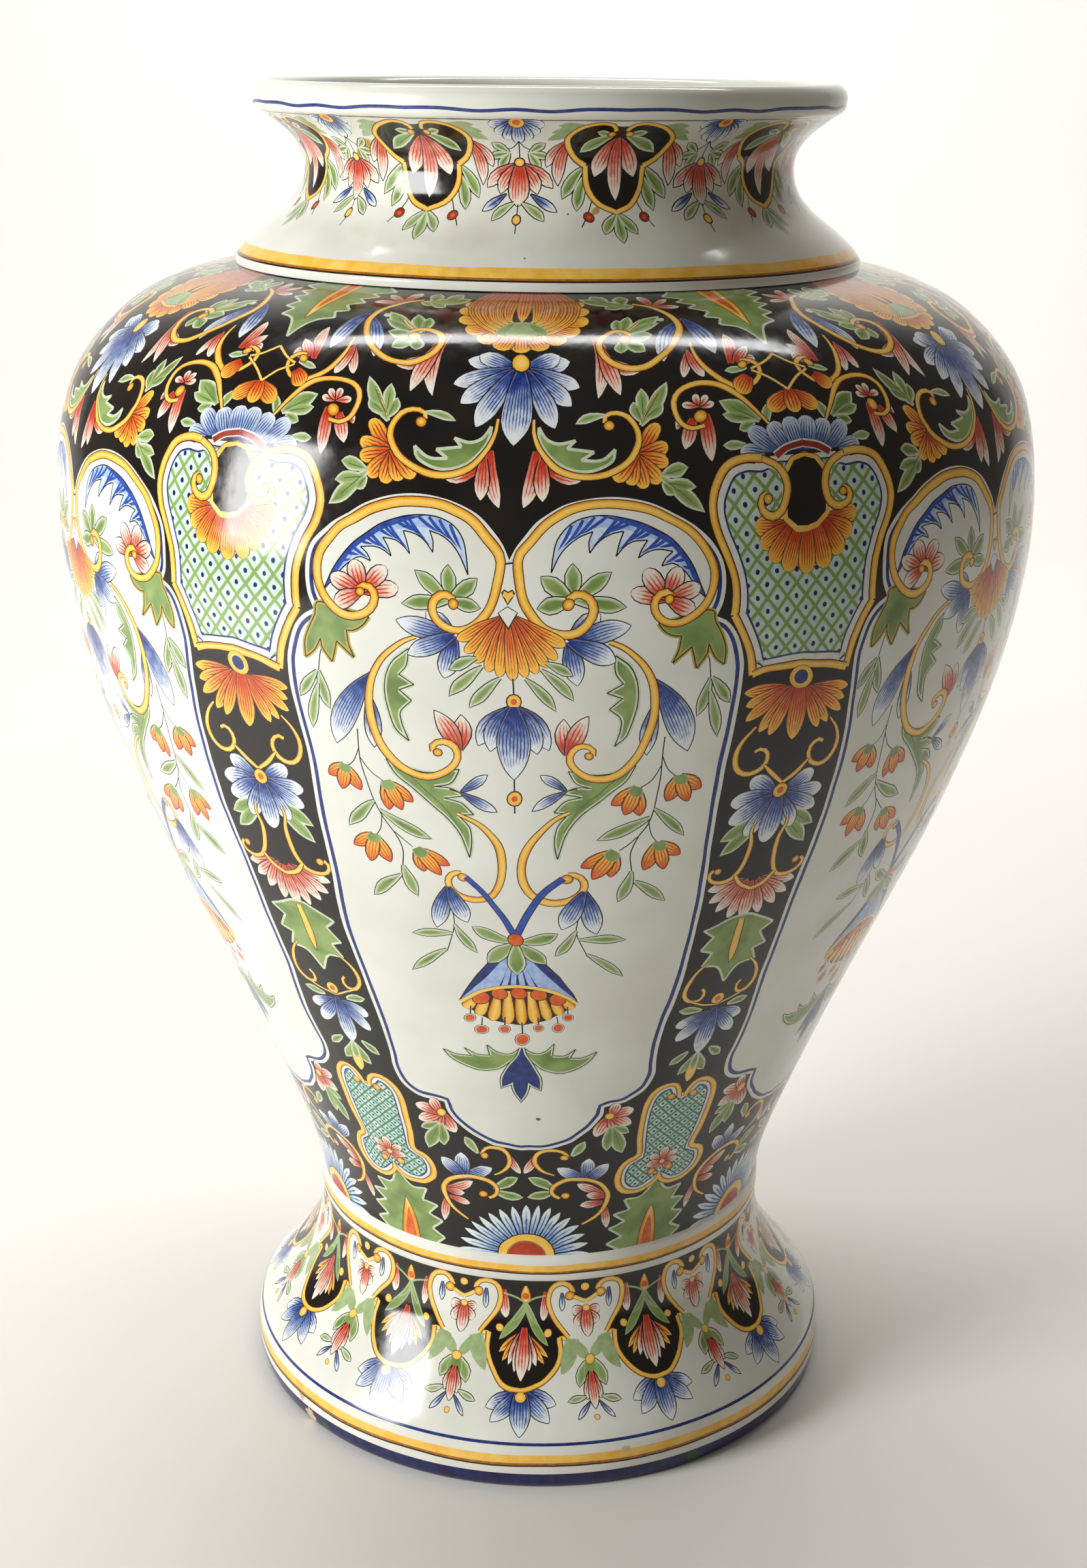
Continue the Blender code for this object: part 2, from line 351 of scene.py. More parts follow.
class Drawing:
    """Half of one repeat, drawn flat. x runs round the wall from the axis in use, s up it, in millimetres."""

    def __init__(self, low, high, half_angle):
        self.low = low
        self.high = high
        self.half = math.radians(half_angle)
        self.unit = float(np.mean(WALL_FACE.radius(np.linspace(low, high, 50))))
        self.axis = 0.0
        self.points = []
        self.marks = []
        self.faces = []
        self.paints = []

    def on(self, degrees):
        """Draw from here on about the axis at this angle."""
        self.axis = math.radians(degrees)
        return self

    def add_point(self, x, s, mark):
        """Keep a point of the flat sheet with its brush marks, and give its number."""
        theta = self.axis + x / float(WALL_FACE.radius(s))
        self.points.append((theta * self.unit, s))
        self.marks.append(mark)
        return len(self.points) - 1

    def add_face(self, paint, corners):
        """Keep a face, unless it lies outside the half repeat or has no area."""
        spots = [self.points[corner] for corner in corners]
        across = [spot[0] for spot in spots]
        if max(across) <= 0.0 or min(across) >= self.half * self.unit:
            return
        turn = sum(a[0] * b[1] - b[0] * a[1] for a, b in zip(spots, spots[1:] + spots[:1]))
        if abs(turn) < 1e-3:
            return
        self.faces.append(list(corners) if turn > 0 else list(reversed(corners)))
        self.paints.append((paint, self.axis, len(corners) > 3 or paint in PLAIN_PAINTS))

    def strip(self, paint, spine, halves, strokes=3.0):
        """A brush stroke: a line with a half-width at each of its points."""
        rows = []
        last = len(spine) - 1
        for index, (point, half) in enumerate(zip(spine, halves)):
            along = (spine[min(index + 1, last)] - spine[max(index - 1, 0)]).normalized()
            side = Vector((-along.y, along.x))
            share = index / last
            row = []
            for v in (-1.0, 0.0, 1.0):
                spot = point + side * half * v
                row.append(self.add_point(spot.x, spot.y, (share, v, 0.0 if v else half, strokes)))
            rows.append(row)
        for (a, b, c), (d, e, g) in zip(rows, rows[1:]):
            for corners in ((a, b, d), (b, e, d), (b, c, e), (c, g, e)):
                self.add_face(paint, corners)

    def petal(self, paint, base, tip, width, bend=0.0, belly=0.6, foot=0.3, point=0.5, inset=0.0, via=None):
        """A petal or leaf from its base to its tip. A low point value gives a round tip, 1 a sharp one."""
        base, tip = Vector(base), Vector(tip)
        along = tip - base
        length = max(along.length, 0.01)
        tip = tip + along * (TIP_ALLOWANCE / length)
        if via:
            line = smooth([base] + list(via) + [tip], length / 40)
        else:
            middle = (base + tip) / 2 + Vector((-along.y, along.x)) * bend
            line = [base.lerp(middle, t).lerp(middle.lerp(tip, t), t) for t in np.linspace(0, 1, 25)]
        count = max(6, min(13, int(length / 2.0)))
        spine = []
        halves = []
        for step in range(count + 1):
            u = math.sin(step / count * math.pi / 2) ** 1.15
            place = u * (len(line) - 1)
            first = min(int(place), len(line) - 2)
            spine.append(line[first].lerp(line[first + 1], place - first))
            if u < belly:
                shape = foot + (1 - foot) * math.sin(u / belly * math.pi / 2)
            else:
                shape = max(0.0, 1 - ((u - belly) / (1 - belly)) ** 2) ** point
            halves.append(max(0.0, shape * width / 2 - inset))
        self.strip(paint, spine, halves, strokes=max(1.0, round(width / 3.0)))

    def scroll(self, points, width, paint="yellow_stroke", start=0.45, end=0.75, ball=None):
        """A painted scroll, thickest in its middle, with an optional ball at its end: centre and radius."""
        spine = smooth(points, SCROLL_STEP)
        last = len(spine) - 1
        halves = []
        for index in range(len(spine)):
            u = index / last
            swell = start + (1 - start) * min(1.0, u / 0.3) if u < 0.3 else 1.0
            if u > 0.7:
                swell = end + (1 - end) * (1 - u) / 0.3
            halves.append(width / 2 * swell + LINE_ALLOWANCE)
        self.strip(paint, spine, halves)
        if ball:
            self.disc(paint, ball[0], ball[1])

    def line(self, points, width=0.45, paint="black_line", fine=LINE_STEP):
        """A thin line of even width."""
        spine = smooth(points, fine)
        self.strip(paint, spine, [width / 2] * len(spine))

    def disc(self, paint, centre, radius, tall=1.0, steps=12):
        """A round or oval spot."""
        middle = self.add_point(centre[0], centre[1], (0.0, 0.0, radius, 1.0))
        edge = []
        for step in range(steps):
            angle = math.tau * step / steps
            edge.append(self.add_point(centre[0] + radius * math.cos(angle),
                                       centre[1] + radius * tall * math.sin(angle), (1.0, 1.0, 0.0, 1.0)))
        for first, second in zip(edge, edge[1:] + edge[:1]):
            self.add_face(paint, (middle, first, second))

    def area(self, paint, points, curved=True, spacing=LINE_STEP):
        """A closed patch. Where it is curved, a third value marks the points that stay corners."""
        outline = outline_of(points, spacing) if curved else [Vector(point[:2]) for point in points]
        fine = []
        for spot, following in zip(outline, outline[1:] + outline[:1]):
            parts = max(1, math.ceil((following - spot).length / LONGEST_EDGE))
            fine += [spot.lerp(following, part / parts) for part in range(parts)]
        corners = [self.add_point(spot[0], spot[1], None) for spot in fine]
        self.add_face(paint, corners)

    def rings(self, points, coats, axis_x):
        """Coats of paint one inside the other, in an edge that starts and ends on the repeat's axis."""
        edge = outline_of(points, LINE_STEP)
        for paint, depth in coats:
            ring = inset(edge, depth)
            closed = [(axis_x, ring[0].y)] + [tuple(spot) for spot in ring] + [(axis_x, ring[-1].y)]
            self.area(paint, closed, curved=False)

    def saw_leaf(self, points, margin="leaf_margin", edge=None):
        """A saw-edged leaf from its outline, with a margin along it and, on a white ground, a dark line."""
        self.area("leaf_green", points, spacing=1.5)
        closed = list(points) + [points[0]]
        for paint, width in ((margin, 1.8 if edge else 1.1), (edge, 0.45)):
            if paint:
                for part in runs(closed):
                    self.line(part, width, paint, 1.5)

    def petals(self, paint, base, tips, width, **look):
        """Petals from one point to each of the tips, each over the one before."""
        for tip in tips:
            self.petal(paint, base, tip, width, **look)

    def fan(self, paint, base, tips, width, bend=0.0, **look):
        """Petals to the given tips, from one point or shared out between two. The middle ones lie on top."""
        first, final = (base, base) if not hasattr(base[0], "__len__") else base
        count = len(tips)
        order = sorted(range(count), key=lambda index: -abs(index - (count - 1) / 2))
        for index in order:
            share = index / max(1, count - 1)
            start = Vector(first).lerp(Vector(final), share)
            lean = bend * (1 - 2 * share) if count > 1 else bend
            self.petal(paint, start, tips[index], width, bend=lean, **look)

    def leaf(self, lobes, ground="black", point=1.1, wash="leaf_green", **look):
        """A leaf of one or more lobes, each base, tip, width and bend, with its ground's margin."""
        if ground == "black":
            coats = (("leaf_margin", 0.0), (wash, 0.7))
        else:
            coats = (("black_line", 0.0), ("leaf_margin", 0.42), (wash, 1.1))
        for paint, inset_by in coats:
            for lobe in lobes:
                base, tip, width = lobe[:3]
                bend = lobe[3] if len(lobe) > 3 else 0.0
                self.petal(paint, base, tip, width, bend=bend, point=point, inset=inset_by, **look)
        if len(lobes) > 1 and wash == "leaf_green":
            for base, tip, *_ in lobes:
                inner = Vector(base).lerp(Vector(tip), 0.15)
                self.line([inner, Vector(base).lerp(Vector(tip), 0.72)], 0.34, "leaf_vein")

    def sprig(self, leaves, width, bend):
        """Single leaves on a white ground, each from its base to its tip."""
        for base, tip in leaves:
            self.leaf([(base, tip, width, bend)], ground="white")

    def bead(self, centre, radius, tall=1.0, rim="yellow_spot", heart="red_spot", core=0.45):
        """A round bead with a red heart."""
        self.disc("black_line", centre, radius + 0.3, tall)
        self.disc(rim, centre, radius, tall)
        self.disc(heart, centre, radius * core, tall)

    def net(self, grid):
        """Evenly spread points, and edges along the sheet's border and the wall's creases."""
        width = self.half * self.unit
        tall = self.high - self.low
        columns = max(2, math.ceil(width / grid))
        rows = max(2, math.ceil(tall / grid))
        levels = [self.low, self.high] + [s for s in WALL_FACE.creases if self.low < s < self.high]
        points = []
        edges = []
        for level in sorted(levels):
            row = range(len(points), len(points) + columns + 1)
            points += [Vector((width * step / columns, level)) for step in range(columns + 1)]
            edges += list(zip(row, row[1:]))
        for row in range(1, rows):
            level = self.low + tall * row / rows
            if min(abs(level - crease) for crease in levels) > grid * 0.3:
                shift = 0.5 * (row % 2)
                points += [Vector((width * (step + shift) / columns, level)) for step in range(columns)
                           if step + shift > 0.2]
        for side in (0.0, width):
            ladder = range(len(points), len(points) + rows + 1)
            points += [Vector((side, self.low + tall * row / rows)) for row in range(rows + 1)]
            edges += list(zip(ladder, ladder[1:]))
        return points, edges

    def split(self, points, edges, grid):
        """Triangles of the sheet that keep the given edges, and the topmost face over each."""
        width = self.half * self.unit
        first = len(points)
        spread, border = self.net(grid)
        sides = ((0, self.low), (width, self.low), (width, self.high), (0, self.high))
        corners = [Vector(corner) for corner in sides]
        edges = edges + [(a + first, b + first) for a, b in border]
        points = points + spread + corners
        sheet = list(range(len(points) - 4, len(points)))
        spots, _, triangles, _, _, _ = delaunay_2d_cdt(points, edges, [sheet], 1, 1e-4, False)
        spots = np.array([(spot.x, spot.y) for spot in spots])
        triangles = np.array([corners for corners in triangles if len(corners) == 3])
        middles = spots[triangles].mean(axis=1)
        inside = ((middles[:, 0] > 0) & (middles[:, 0] < width)
                  & (middles[:, 1] > self.low) & (middles[:, 1] < self.high))
        return spots, triangles[inside], self.topmost(middles[inside])

    def alike(self, first, second):
        """Whether two faces look the same, so that the seam between them is not needed."""
        return first == second or (first >= 0 and second >= 0 and self.paints[first][2]
                                   and self.paints[first] == self.paints[second])

    def seams(self, spots, triangles, sources):
        """The edges at which the paint changes, without the needless points on straight stretches."""
        sides = {}
        for corners, source in zip(triangles.tolist(), sources.tolist()):
            for a, b in zip(corners, corners[1:] + corners[:1]):
                sides.setdefault((min(a, b), max(a, b)), []).append(source)
        near = {}
        for (a, b), found in sides.items():
            if len(found) == 2 and not self.alike(*found):
                near.setdefault(a, set()).add(b)
                near.setdefault(b, set()).add(a)
        spots = spots.tolist()
        for middle in list(near):
            if len(near[middle]) == 2:
                a, b = near[middle]
                across, up = spots[b][0] - spots[a][0], spots[b][1] - spots[a][1]
                length = math.hypot(across, up)
                off = abs(across * (spots[middle][1] - spots[a][1]) - up * (spots[middle][0] - spots[a][0]))
                if b not in near[a] and length < LONGEST_EDGE and off < SEAM_TOLERANCE * length:
                    near[a] = near[a] - {middle} | {b}
                    near[b] = near[b] - {middle} | {a}
                    del near[middle]
        number = {old: new for new, old in enumerate(near)}
        return ([Vector(spots[old]) for old in near],
                [(number[a], number[b]) for a in near for b in near[a] if a < b])

    def cut(self, grid):
        """Cut all the overlapping strokes into one flat mesh in which the topmost paint shows."""
        strokes = [edge for face in self.faces for edge in zip(face, face[1:] + face[:1])]
        points = [Vector(point) for point in self.points]
        points, edges = self.seams(*self.split(points, strokes, grid * COARSE))
        spots, triangles, sources = self.split(points, edges, grid)
        flat = FlatPaint(self)
        for corners, source in zip(triangles, sources):
            if source >= 0:
                flat.add(tuple(corners), spots[corners], source)
        flat.close(spots)
        return flat

    def topmost(self, middles):
        """The number of the last face drawn over each point, or -1."""
        order = np.argsort(middles[:, 1])
        across = middles[order, 0]
        up = middles[order, 1]
        found = np.full(len(middles), -1)
        for number, face in enumerate(self.faces):
            corners = np.array([self.points[corner] for corner in face])
            first, last = np.searchsorted(up, (corners[:, 1].min(), corners[:, 1].max()))
            x, y = across[first:last], up[first:last]
            odd = np.zeros(len(x), dtype=bool)
            for (ax, ay), (bx, by) in zip(corners, np.roll(corners, -1, axis=0)):
                if ay != by:
                    odd ^= ((ay > y) != (by > y)) & (x < (bx - ax) * (y - ay) / (by - ay) + ax)
            found[first:last][odd] = number
        topmost = np.empty_like(found)
        topmost[order] = found
        return topmost


class FlatPaint:
    """The cut drawing: corners, triangles, the paint of each and the brush marks at their corners."""

    def __init__(self, drawing):
        self.drawing = drawing
        self.names = []
        self.triangles = []
        self.paint = []
        self.marks = []

    def add(self, corners, spots, source):
        """Keep a triangle with the paint and the brush marks of the face it was cut from."""
        drawing = self.drawing
        paint, axis, plain = drawing.paints[source]
        (ax, ay), (bx, by), (cx, cy) = spots
        turn = (bx - ax) * (cy - ay) - (cx - ax) * (by - ay)
        if abs(turn) < 1e-7:
            return
        if plain:
            marks = [((x / drawing.unit - axis) * float(WALL_FACE.radius(y)), y, 9.0, 1.0) for x, y in spots]
        else:
            face = drawing.faces[source]
            (px, py), (qx, qy), (rx, ry) = [drawing.points[corner] for corner in face]
            weights = np.array([drawing.marks[corner] for corner in face])
            size = (qx - px) * (ry - py) - (rx - px) * (qy - py)
            marks = []
            for x, y in spots:
                second = ((x - px) * (ry - py) - (rx - px) * (y - py)) / size
                third = ((qx - px) * (y - py) - (x - px) * (qy - py)) / size
                shares = np.array([1 - second - third, second, third])
                marks.append(tuple(shares @ weights))
        if paint not in self.names:
            self.names.append(paint)
        self.triangles.append(corners if turn > 0 else corners[::-1])
        self.marks.append(marks if turn > 0 else marks[::-1])
        self.paint.append(self.names.index(paint))

    def close(self, spots):
        """Keep only the corners in use, by their angle and their length up the wall."""
        used = sorted({corner for triangle in self.triangles for corner in triangle})
        renumber = {old: new for new, old in enumerate(used)}
        self.triangles = np.array([[renumber[corner] for corner in triangle] for triangle in self.triangles])
        self.marks = np.array(self.marks)
        self.paint = np.array(self.paint)
        self.theta = spots[used, 0] / self.drawing.unit
        self.s = spots[used, 1]


def lay_paint(name, flat, first_axis, repeat_angle, repeats, paints):
    """Lay mirrored copies of a cut half repeat round the wall as one thin painted skin."""
    halves = []
    for repeat in range(repeats):
        axis = math.radians(first_axis + repeat * repeat_angle)
        for side in (1, -1):
            triangles = flat.triangles[:, ::side] + len(halves) * len(flat.s)
            halves.append((axis + side * flat.theta, flat.s, triangles, flat.marks[:, ::side], flat.paint))
    theta, s, triangles, marks, paint = (np.concatenate(parts) for parts in zip(*halves))
    along, up = HAND.drift(theta, s)
    low, high = flat.drawing.low, flat.drawing.high
    turned = theta + along / WALL_FACE.radius(s)
    raised = np.clip(s + up, low, high)
    points, normals = WALL_FACE.place(turned, raised, GLAZE_LIFT)
    first, second, third = (points[triangles[:, corner]] for corner in range(3))
    facing = np.sum(np.cross(second - first, third - first) * normals[triangles[:, 0]], axis=1)
    triangles[facing < 0] = triangles[facing < 0][:, ::-1]
    marks[facing < 0] = marks[facing < 0][:, ::-1]
    marks = marks.reshape(-1, 4)
    mesh = bpy.data.meshes.new(name)
    mesh.vertices.add(len(points))
    mesh.vertices.foreach_set("co", points.ravel())
    mesh.loops.add(len(triangles) * 3)
    mesh.loops.foreach_set("vertex_index", triangles.ravel())
    mesh.polygons.add(len(triangles))
    mesh.polygons.foreach_set("loop_start", np.arange(0, len(triangles) * 3, 3))
    mesh.polygons.foreach_set("material_index", paint)
    for title, columns in (("Stroke", (0, 1)), ("Brush", (2, 3))):
        layer = mesh.uv_layers.new(name=title)
        layer.data.foreach_set("uv", np.ascontiguousarray(marks[:, columns]).ravel())
    sheet = mesh.uv_layers.new(name="OFBake")
    corner = triangles.ravel()
    spread = max(s.max() - s.min(), (theta.max() - theta.min()) * flat.drawing.unit)
    across = (theta[corner] - theta.min()) * flat.drawing.unit / spread
    sheet.data.foreach_set("uv", np.column_stack([across, (s[corner] - s.min()) / spread]).ravel())
    mesh.update()
    mesh.validate()
    mesh.shade_smooth()
    mesh.normals_split_custom_set_from_vertices([tuple(normal) for normal in normals])
    for title in flat.names:
        mesh.materials.append(paints[title])
    skin = bpy.data.objects.new(name, mesh)
    bpy.context.scene.collection.objects.link(skin)
    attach(skin, "root")


def to_linear(colour):
    """An sRGB hex colour as the linear values that a shader takes."""
    parts = [int(colour[place:place + 2], 16) / 255 for place in (1, 3, 5)]
    return [part / 12.92 if part <= 0.04045 else ((part + 0.055) / 1.055) ** 2.4 for part in parts] + [1.0]


def add(tree, kind, links=None, **settings):
    """Add a node. An input takes a node's first live output, a socket, a hex colour or a value."""
    node = tree.nodes.new("ShaderNode" + kind)
    for key, value in settings.items():
        setattr(node, key, value)
    for socket, value in (links or {}).items():
        if isinstance(value, bpy.types.Node):
            value = next(output for output in value.outputs if output.enabled)
        if isinstance(value, bpy.types.NodeSocket):
            tree.links.new(value, node.inputs[socket])
        else:
            node.inputs[socket].default_value = to_linear(value) if isinstance(value, str) else value
    return node


# sRGB colours of the glaze and the paints, before the light of the room
WHITE = "#dcddd2"
WHITE_THICK = "#e6e8df"
BLACK = "#14100e"
BLACK_WORN = "#1f1a17"
LINE_BLACK = "#171315"
LINE_BROWN = "#3a2416"
YELLOW = "#f0b63c"
YELLOW_PALE = "#f7cf6c"
NAVY = "#161f58"


def new_finish(name):
    """An empty node tree for a material, and its place on the vase in millimetres."""
    material = bpy.data.materials.new(name)
    material.use_nodes = True
    tree = material.node_tree
    tree.nodes.clear()
    place = add(tree, "Mapping", {
        0: add(tree, "TexCoord").outputs["Object"], "Scale": (1 / MM, 1 / MM, 1 / MM)})
    return material, tree, place


# chips and stains: degrees from the front, millimetres up the wall, radius and colour
FOOT_FLAWS = ((-49.9, 4.5, 3.6, "#c9b28f"), (-52.5, 12.5, 2.6, "#c9b28f"), (16.5, 18.4, 2.0, "#d2b692"),
              (-45.4, 4.0, 3.0, "#1c4a2e"), (30.7, 4.0, 4.0, "#1c4a2e"))
NECK_FLAWS = ((-41.4, 662.0, 4.6, "#b48a3c"), (-44.5, 658.0, 2.6, "#b08a48"), (9.6, 638.5, 1.6, "#b59a55"),
              (3.8, 637.0, 0.6, "#5f5a48"), (-0.5, 197.5, 0.9, "#5d4c38"), (-4.2, 614.0, 0.5, "#6b6452"))


def worn(tree, colour, place, flaws):
    """The chips, pinholes and stains that the real vase shows, each at its own place on the wall."""
    ragged = add(tree, "TexNoise", {"Vector": place, "Scale": 1 / 2.4, "Detail": 2.0})
    for degrees, up, radius, shade in flaws:
        spot = WALL_FACE.place(np.array([math.radians(degrees)]), np.array([up]), GLAZE_LIFT)[0][0] / MM
        apart = add(tree, "VectorMath", {0: place, 1: tuple(spot)}, operation="DISTANCE").outputs["Value"]
        apart = add(tree, "Math", {0: ragged, 1: radius * 1.6, 2: apart}, operation="MULTIPLY_ADD")
        mark = add(tree, "MapRange", {0: apart, 1: radius * 1.9, 2: radius * 1.6})
        colour = add(tree, "Mix", {0: mark, 6: colour, 7: shade}, data_type="RGBA")
    return colour


def fire(tree, colour, place):
    """The fired glaze over a colour: glossy, with the slight ripple of a dipped tin glaze."""
    broad = add(tree, "TexNoise", {"Vector": place, "Scale": 1 / 14.0, "Detail": 1.0})
    fine = add(tree, "TexNoise", {"Vector": place, "Scale": 1 / 2.2, "Detail": 1.0})
    height = add(tree, "Math", {0: fine, 1: 0.18, 2: broad}, operation="MULTIPLY_ADD")
    ripple = add(tree, "Bump", {"Height": height, "Strength": 0.35, "Distance": 0.0002})
    dull = add(tree, "TexNoise", {"Vector": place, "Scale": 1 / 5.0})
    gloss = add(tree, "MapRange", {0: dull, 1: 0.30, 2: 0.75, 3: GLAZE_ROUGHNESS, 4: GLAZE_ROUGHNESS + 0.10})
    shader = add(tree, "BsdfPrincipled", {"Base Color": colour, "Roughness": gloss, "Normal": ripple,
                                          "IOR": GLAZE_IOR})
    add(tree, "OutputMaterial", {"Surface": shader})


def clouded(tree, place, size, low, high, colour, other, detail=2.0):
    """One colour drifting into another in soft patches of this size in millimetres."""
    cloud = add(tree, "TexNoise", {"Vector": place, "Scale": 1 / size, "Detail": detail})
    share = add(tree, "MapRange", {0: cloud, 1: low, 2: high})
    return add(tree, "Mix", {0: share, 6: colour, 7: other}, data_type="RGBA")


def plain_glaze(name, colour, other, patch=30.0, pinholes=0.0, flaws=()):
    """Tin or manganese glaze laid all over: an even ground with faint clouding, and pinholes where asked."""
    material, tree, place = new_finish(name)
    shade = clouded(tree, place, patch, 0.35, 0.70, colour, other, 3.0)
    if pinholes:
        near = add(tree, "TexVoronoi", {"Vector": place, "Scale": 1 / 21.0})
        ragged = add(tree, "TexNoise", {"Vector": place, "Scale": 1 / 9.0})
        apart = add(tree, "Math", {0: ragged, 1: 0.05, 2: near}, operation="MULTIPLY_ADD")
        hole = add(tree, "MapRange", {0: apart, 1: pinholes + 0.008, 2: pinholes})
        shade = add(tree, "Mix", {0: hole, 6: shade, 7: "#8b8066"}, data_type="RGBA")
    fire(tree, worn(tree, shade, place, flaws), place)
    return material


def brush_marks(tree):
    """Along and across the stroke, millimetres in from its edge, and strokes from its middle to its edge."""
    stroke = add(tree, "SeparateXYZ", {0: add(tree, "UVMap", uv_map="Stroke")})
    edge = add(tree, "SeparateXYZ", {0: add(tree, "UVMap", uv_map="Brush")})
    return stroke.outputs[0], stroke.outputs[1], edge.outputs[0], edge.outputs[1]


def shaken(tree, place, size, detail=1.0):
    """The hand's tremor: noise about nought with features of this size in millimetres."""
    noise = add(tree, "TexNoise", {"Vector": place, "Scale": 1 / size, "Detail": detail})
    return add(tree, "Math", {0: noise, 1: 0.5}, operation="SUBTRACT")


def petal_paint(name, tip, wash, streak, deep, reach=1.0, edge=LINE_BLACK, edge_width=0.42):
    """A petal washed from its base to a bare tip, with fine strokes drawn along it and a dark outline."""
    material, tree, place = new_finish(name)
    along, across, rim, strokes = brush_marks(tree)
    shake = shaken(tree, place, 1.3)
    drift = shaken(tree, place, 3.6, 2.0)
    length = add(tree, "Math", {0: drift, 1: 0.42, 2: along}, operation="MULTIPLY_ADD")
    soft = add(tree, "MapRange", {0: length, 1: 0.74 * reach, 2: 0.20 * reach})
    colour = add(tree, "Mix", {0: soft, 6: tip, 7: wash}, data_type="RGBA")
    pool = add(tree, "MapRange", {0: length, 1: 0.52 * reach, 2: 0.08})
    colour = add(tree, "Mix", {0: pool, 6: colour, 7: deep}, data_type="RGBA")
    lane = add(tree, "Math", {0: across, 1: strokes}, operation="MULTIPLY")
    lane = add(tree, "Math", {0: shake, 1: 0.20, 2: lane}, operation="MULTIPLY_ADD")
    wave = add(tree, "Math", {0: lane, 1: math.tau * 1.2}, operation="MULTIPLY")
    wave = add(tree, "Math", {0: wave}, operation="COSINE")
    thread = add(tree, "MapRange", {0: wave, 1: 0.10, 2: 0.75})
    inked = add(tree, "MapRange", {0: length, 1: 0.80 * reach, 2: 0.52 * reach})
    thread = add(tree, "Math", {0: thread, 1: inked}, operation="MULTIPLY")
    colour = add(tree, "Mix", {0: thread, 6: colour, 7: streak}, data_type="RGBA")
    bare = add(tree, "Math", {0: shake, 1: 0.22, 2: rim}, operation="MULTIPLY_ADD")
    margin = add(tree, "MapRange", {0: bare, 1: edge_width + 0.60, 2: edge_width + 0.20})
    bright = add(tree, "MapRange", {0: length, 1: 0.25, 2: 0.60, 3: 0.15, 4: 0.80})
    margin = add(tree, "Math", {0: margin, 1: bright}, operation="MULTIPLY")
    colour = add(tree, "Mix", {0: margin, 6: colour, 7: tip}, data_type="RGBA")
    outline = add(tree, "MapRange", {0: bare, 1: edge_width + 0.05, 2: edge_width - 0.07})
    colour = add(tree, "Mix", {0: outline, 6: colour, 7: edge}, data_type="RGBA")
    fire(tree, colour, place)
    return material


def stroke_paint(name, light, middle, dark, edge_width=0.38):
    """A loaded brush's stroke: pale down its middle, deeper towards its sides, with a dark outline."""
    material, tree, place = new_finish(name)
    _, across, rim, _ = brush_marks(tree)
    shake = shaken(tree, place, 1.4)
    drift = shaken(tree, place, 9.0, 2.0)
    side = add(tree, "Math", {0: across}, operation="ABSOLUTE")
    lean = add(tree, "Math", {0: across, 1: 0.22, 2: side}, operation="MULTIPLY_ADD")
    lean = add(tree, "Math", {0: shake, 1: 0.35, 2: lean}, operation="MULTIPLY_ADD")
    lean = add(tree, "Math", {0: drift, 1: 0.7, 2: lean}, operation="MULTIPLY_ADD")
    first = add(tree, "MapRange", {0: lean, 1: 0.05, 2: 0.55})
    colour = add(tree, "Mix", {0: first, 6: light, 7: middle}, data_type="RGBA")
    second = add(tree, "MapRange", {0: lean, 1: 0.52, 2: 1.05})
    colour = add(tree, "Mix", {0: second, 6: colour, 7: dark}, data_type="RGBA")
    bare = add(tree, "Math", {0: shake, 1: 0.28, 2: rim}, operation="MULTIPLY_ADD")
    outline = add(tree, "MapRange", {0: bare, 1: edge_width + 0.06, 2: edge_width - 0.08})
    colour = add(tree, "Mix", {0: outline, 6: colour, 7: LINE_BROWN}, data_type="RGBA")
    fire(tree, colour, place)
    return material


def wash_paint(name, colour, other, size=3.0, flaws=()):
    """A flat wash, laid with a wet brush, with uneven depth."""
    material, tree, place = new_finish(name)
    fire(tree, worn(tree, clouded(tree, place, size, 0.32, 0.70, colour, other), place, flaws), place)
    return material


def leaf_paint(name, pale, wash, deep):
    """A green leaf wash that is thin and pale at the leaf's edge and pools darker in its middle."""
    material, tree, place = new_finish(name)
    rim = brush_marks(tree)[2]
    colour = clouded(tree, place, 11.0, 0.40, 0.66, wash, deep)
    thin = add(tree, "MapRange", {0: rim, 1: 0.9, 2: 0.0})
    fire(tree, add(tree, "Mix", {0: thin, 6: colour, 7: pale}, data_type="RGBA"), place)
    return material


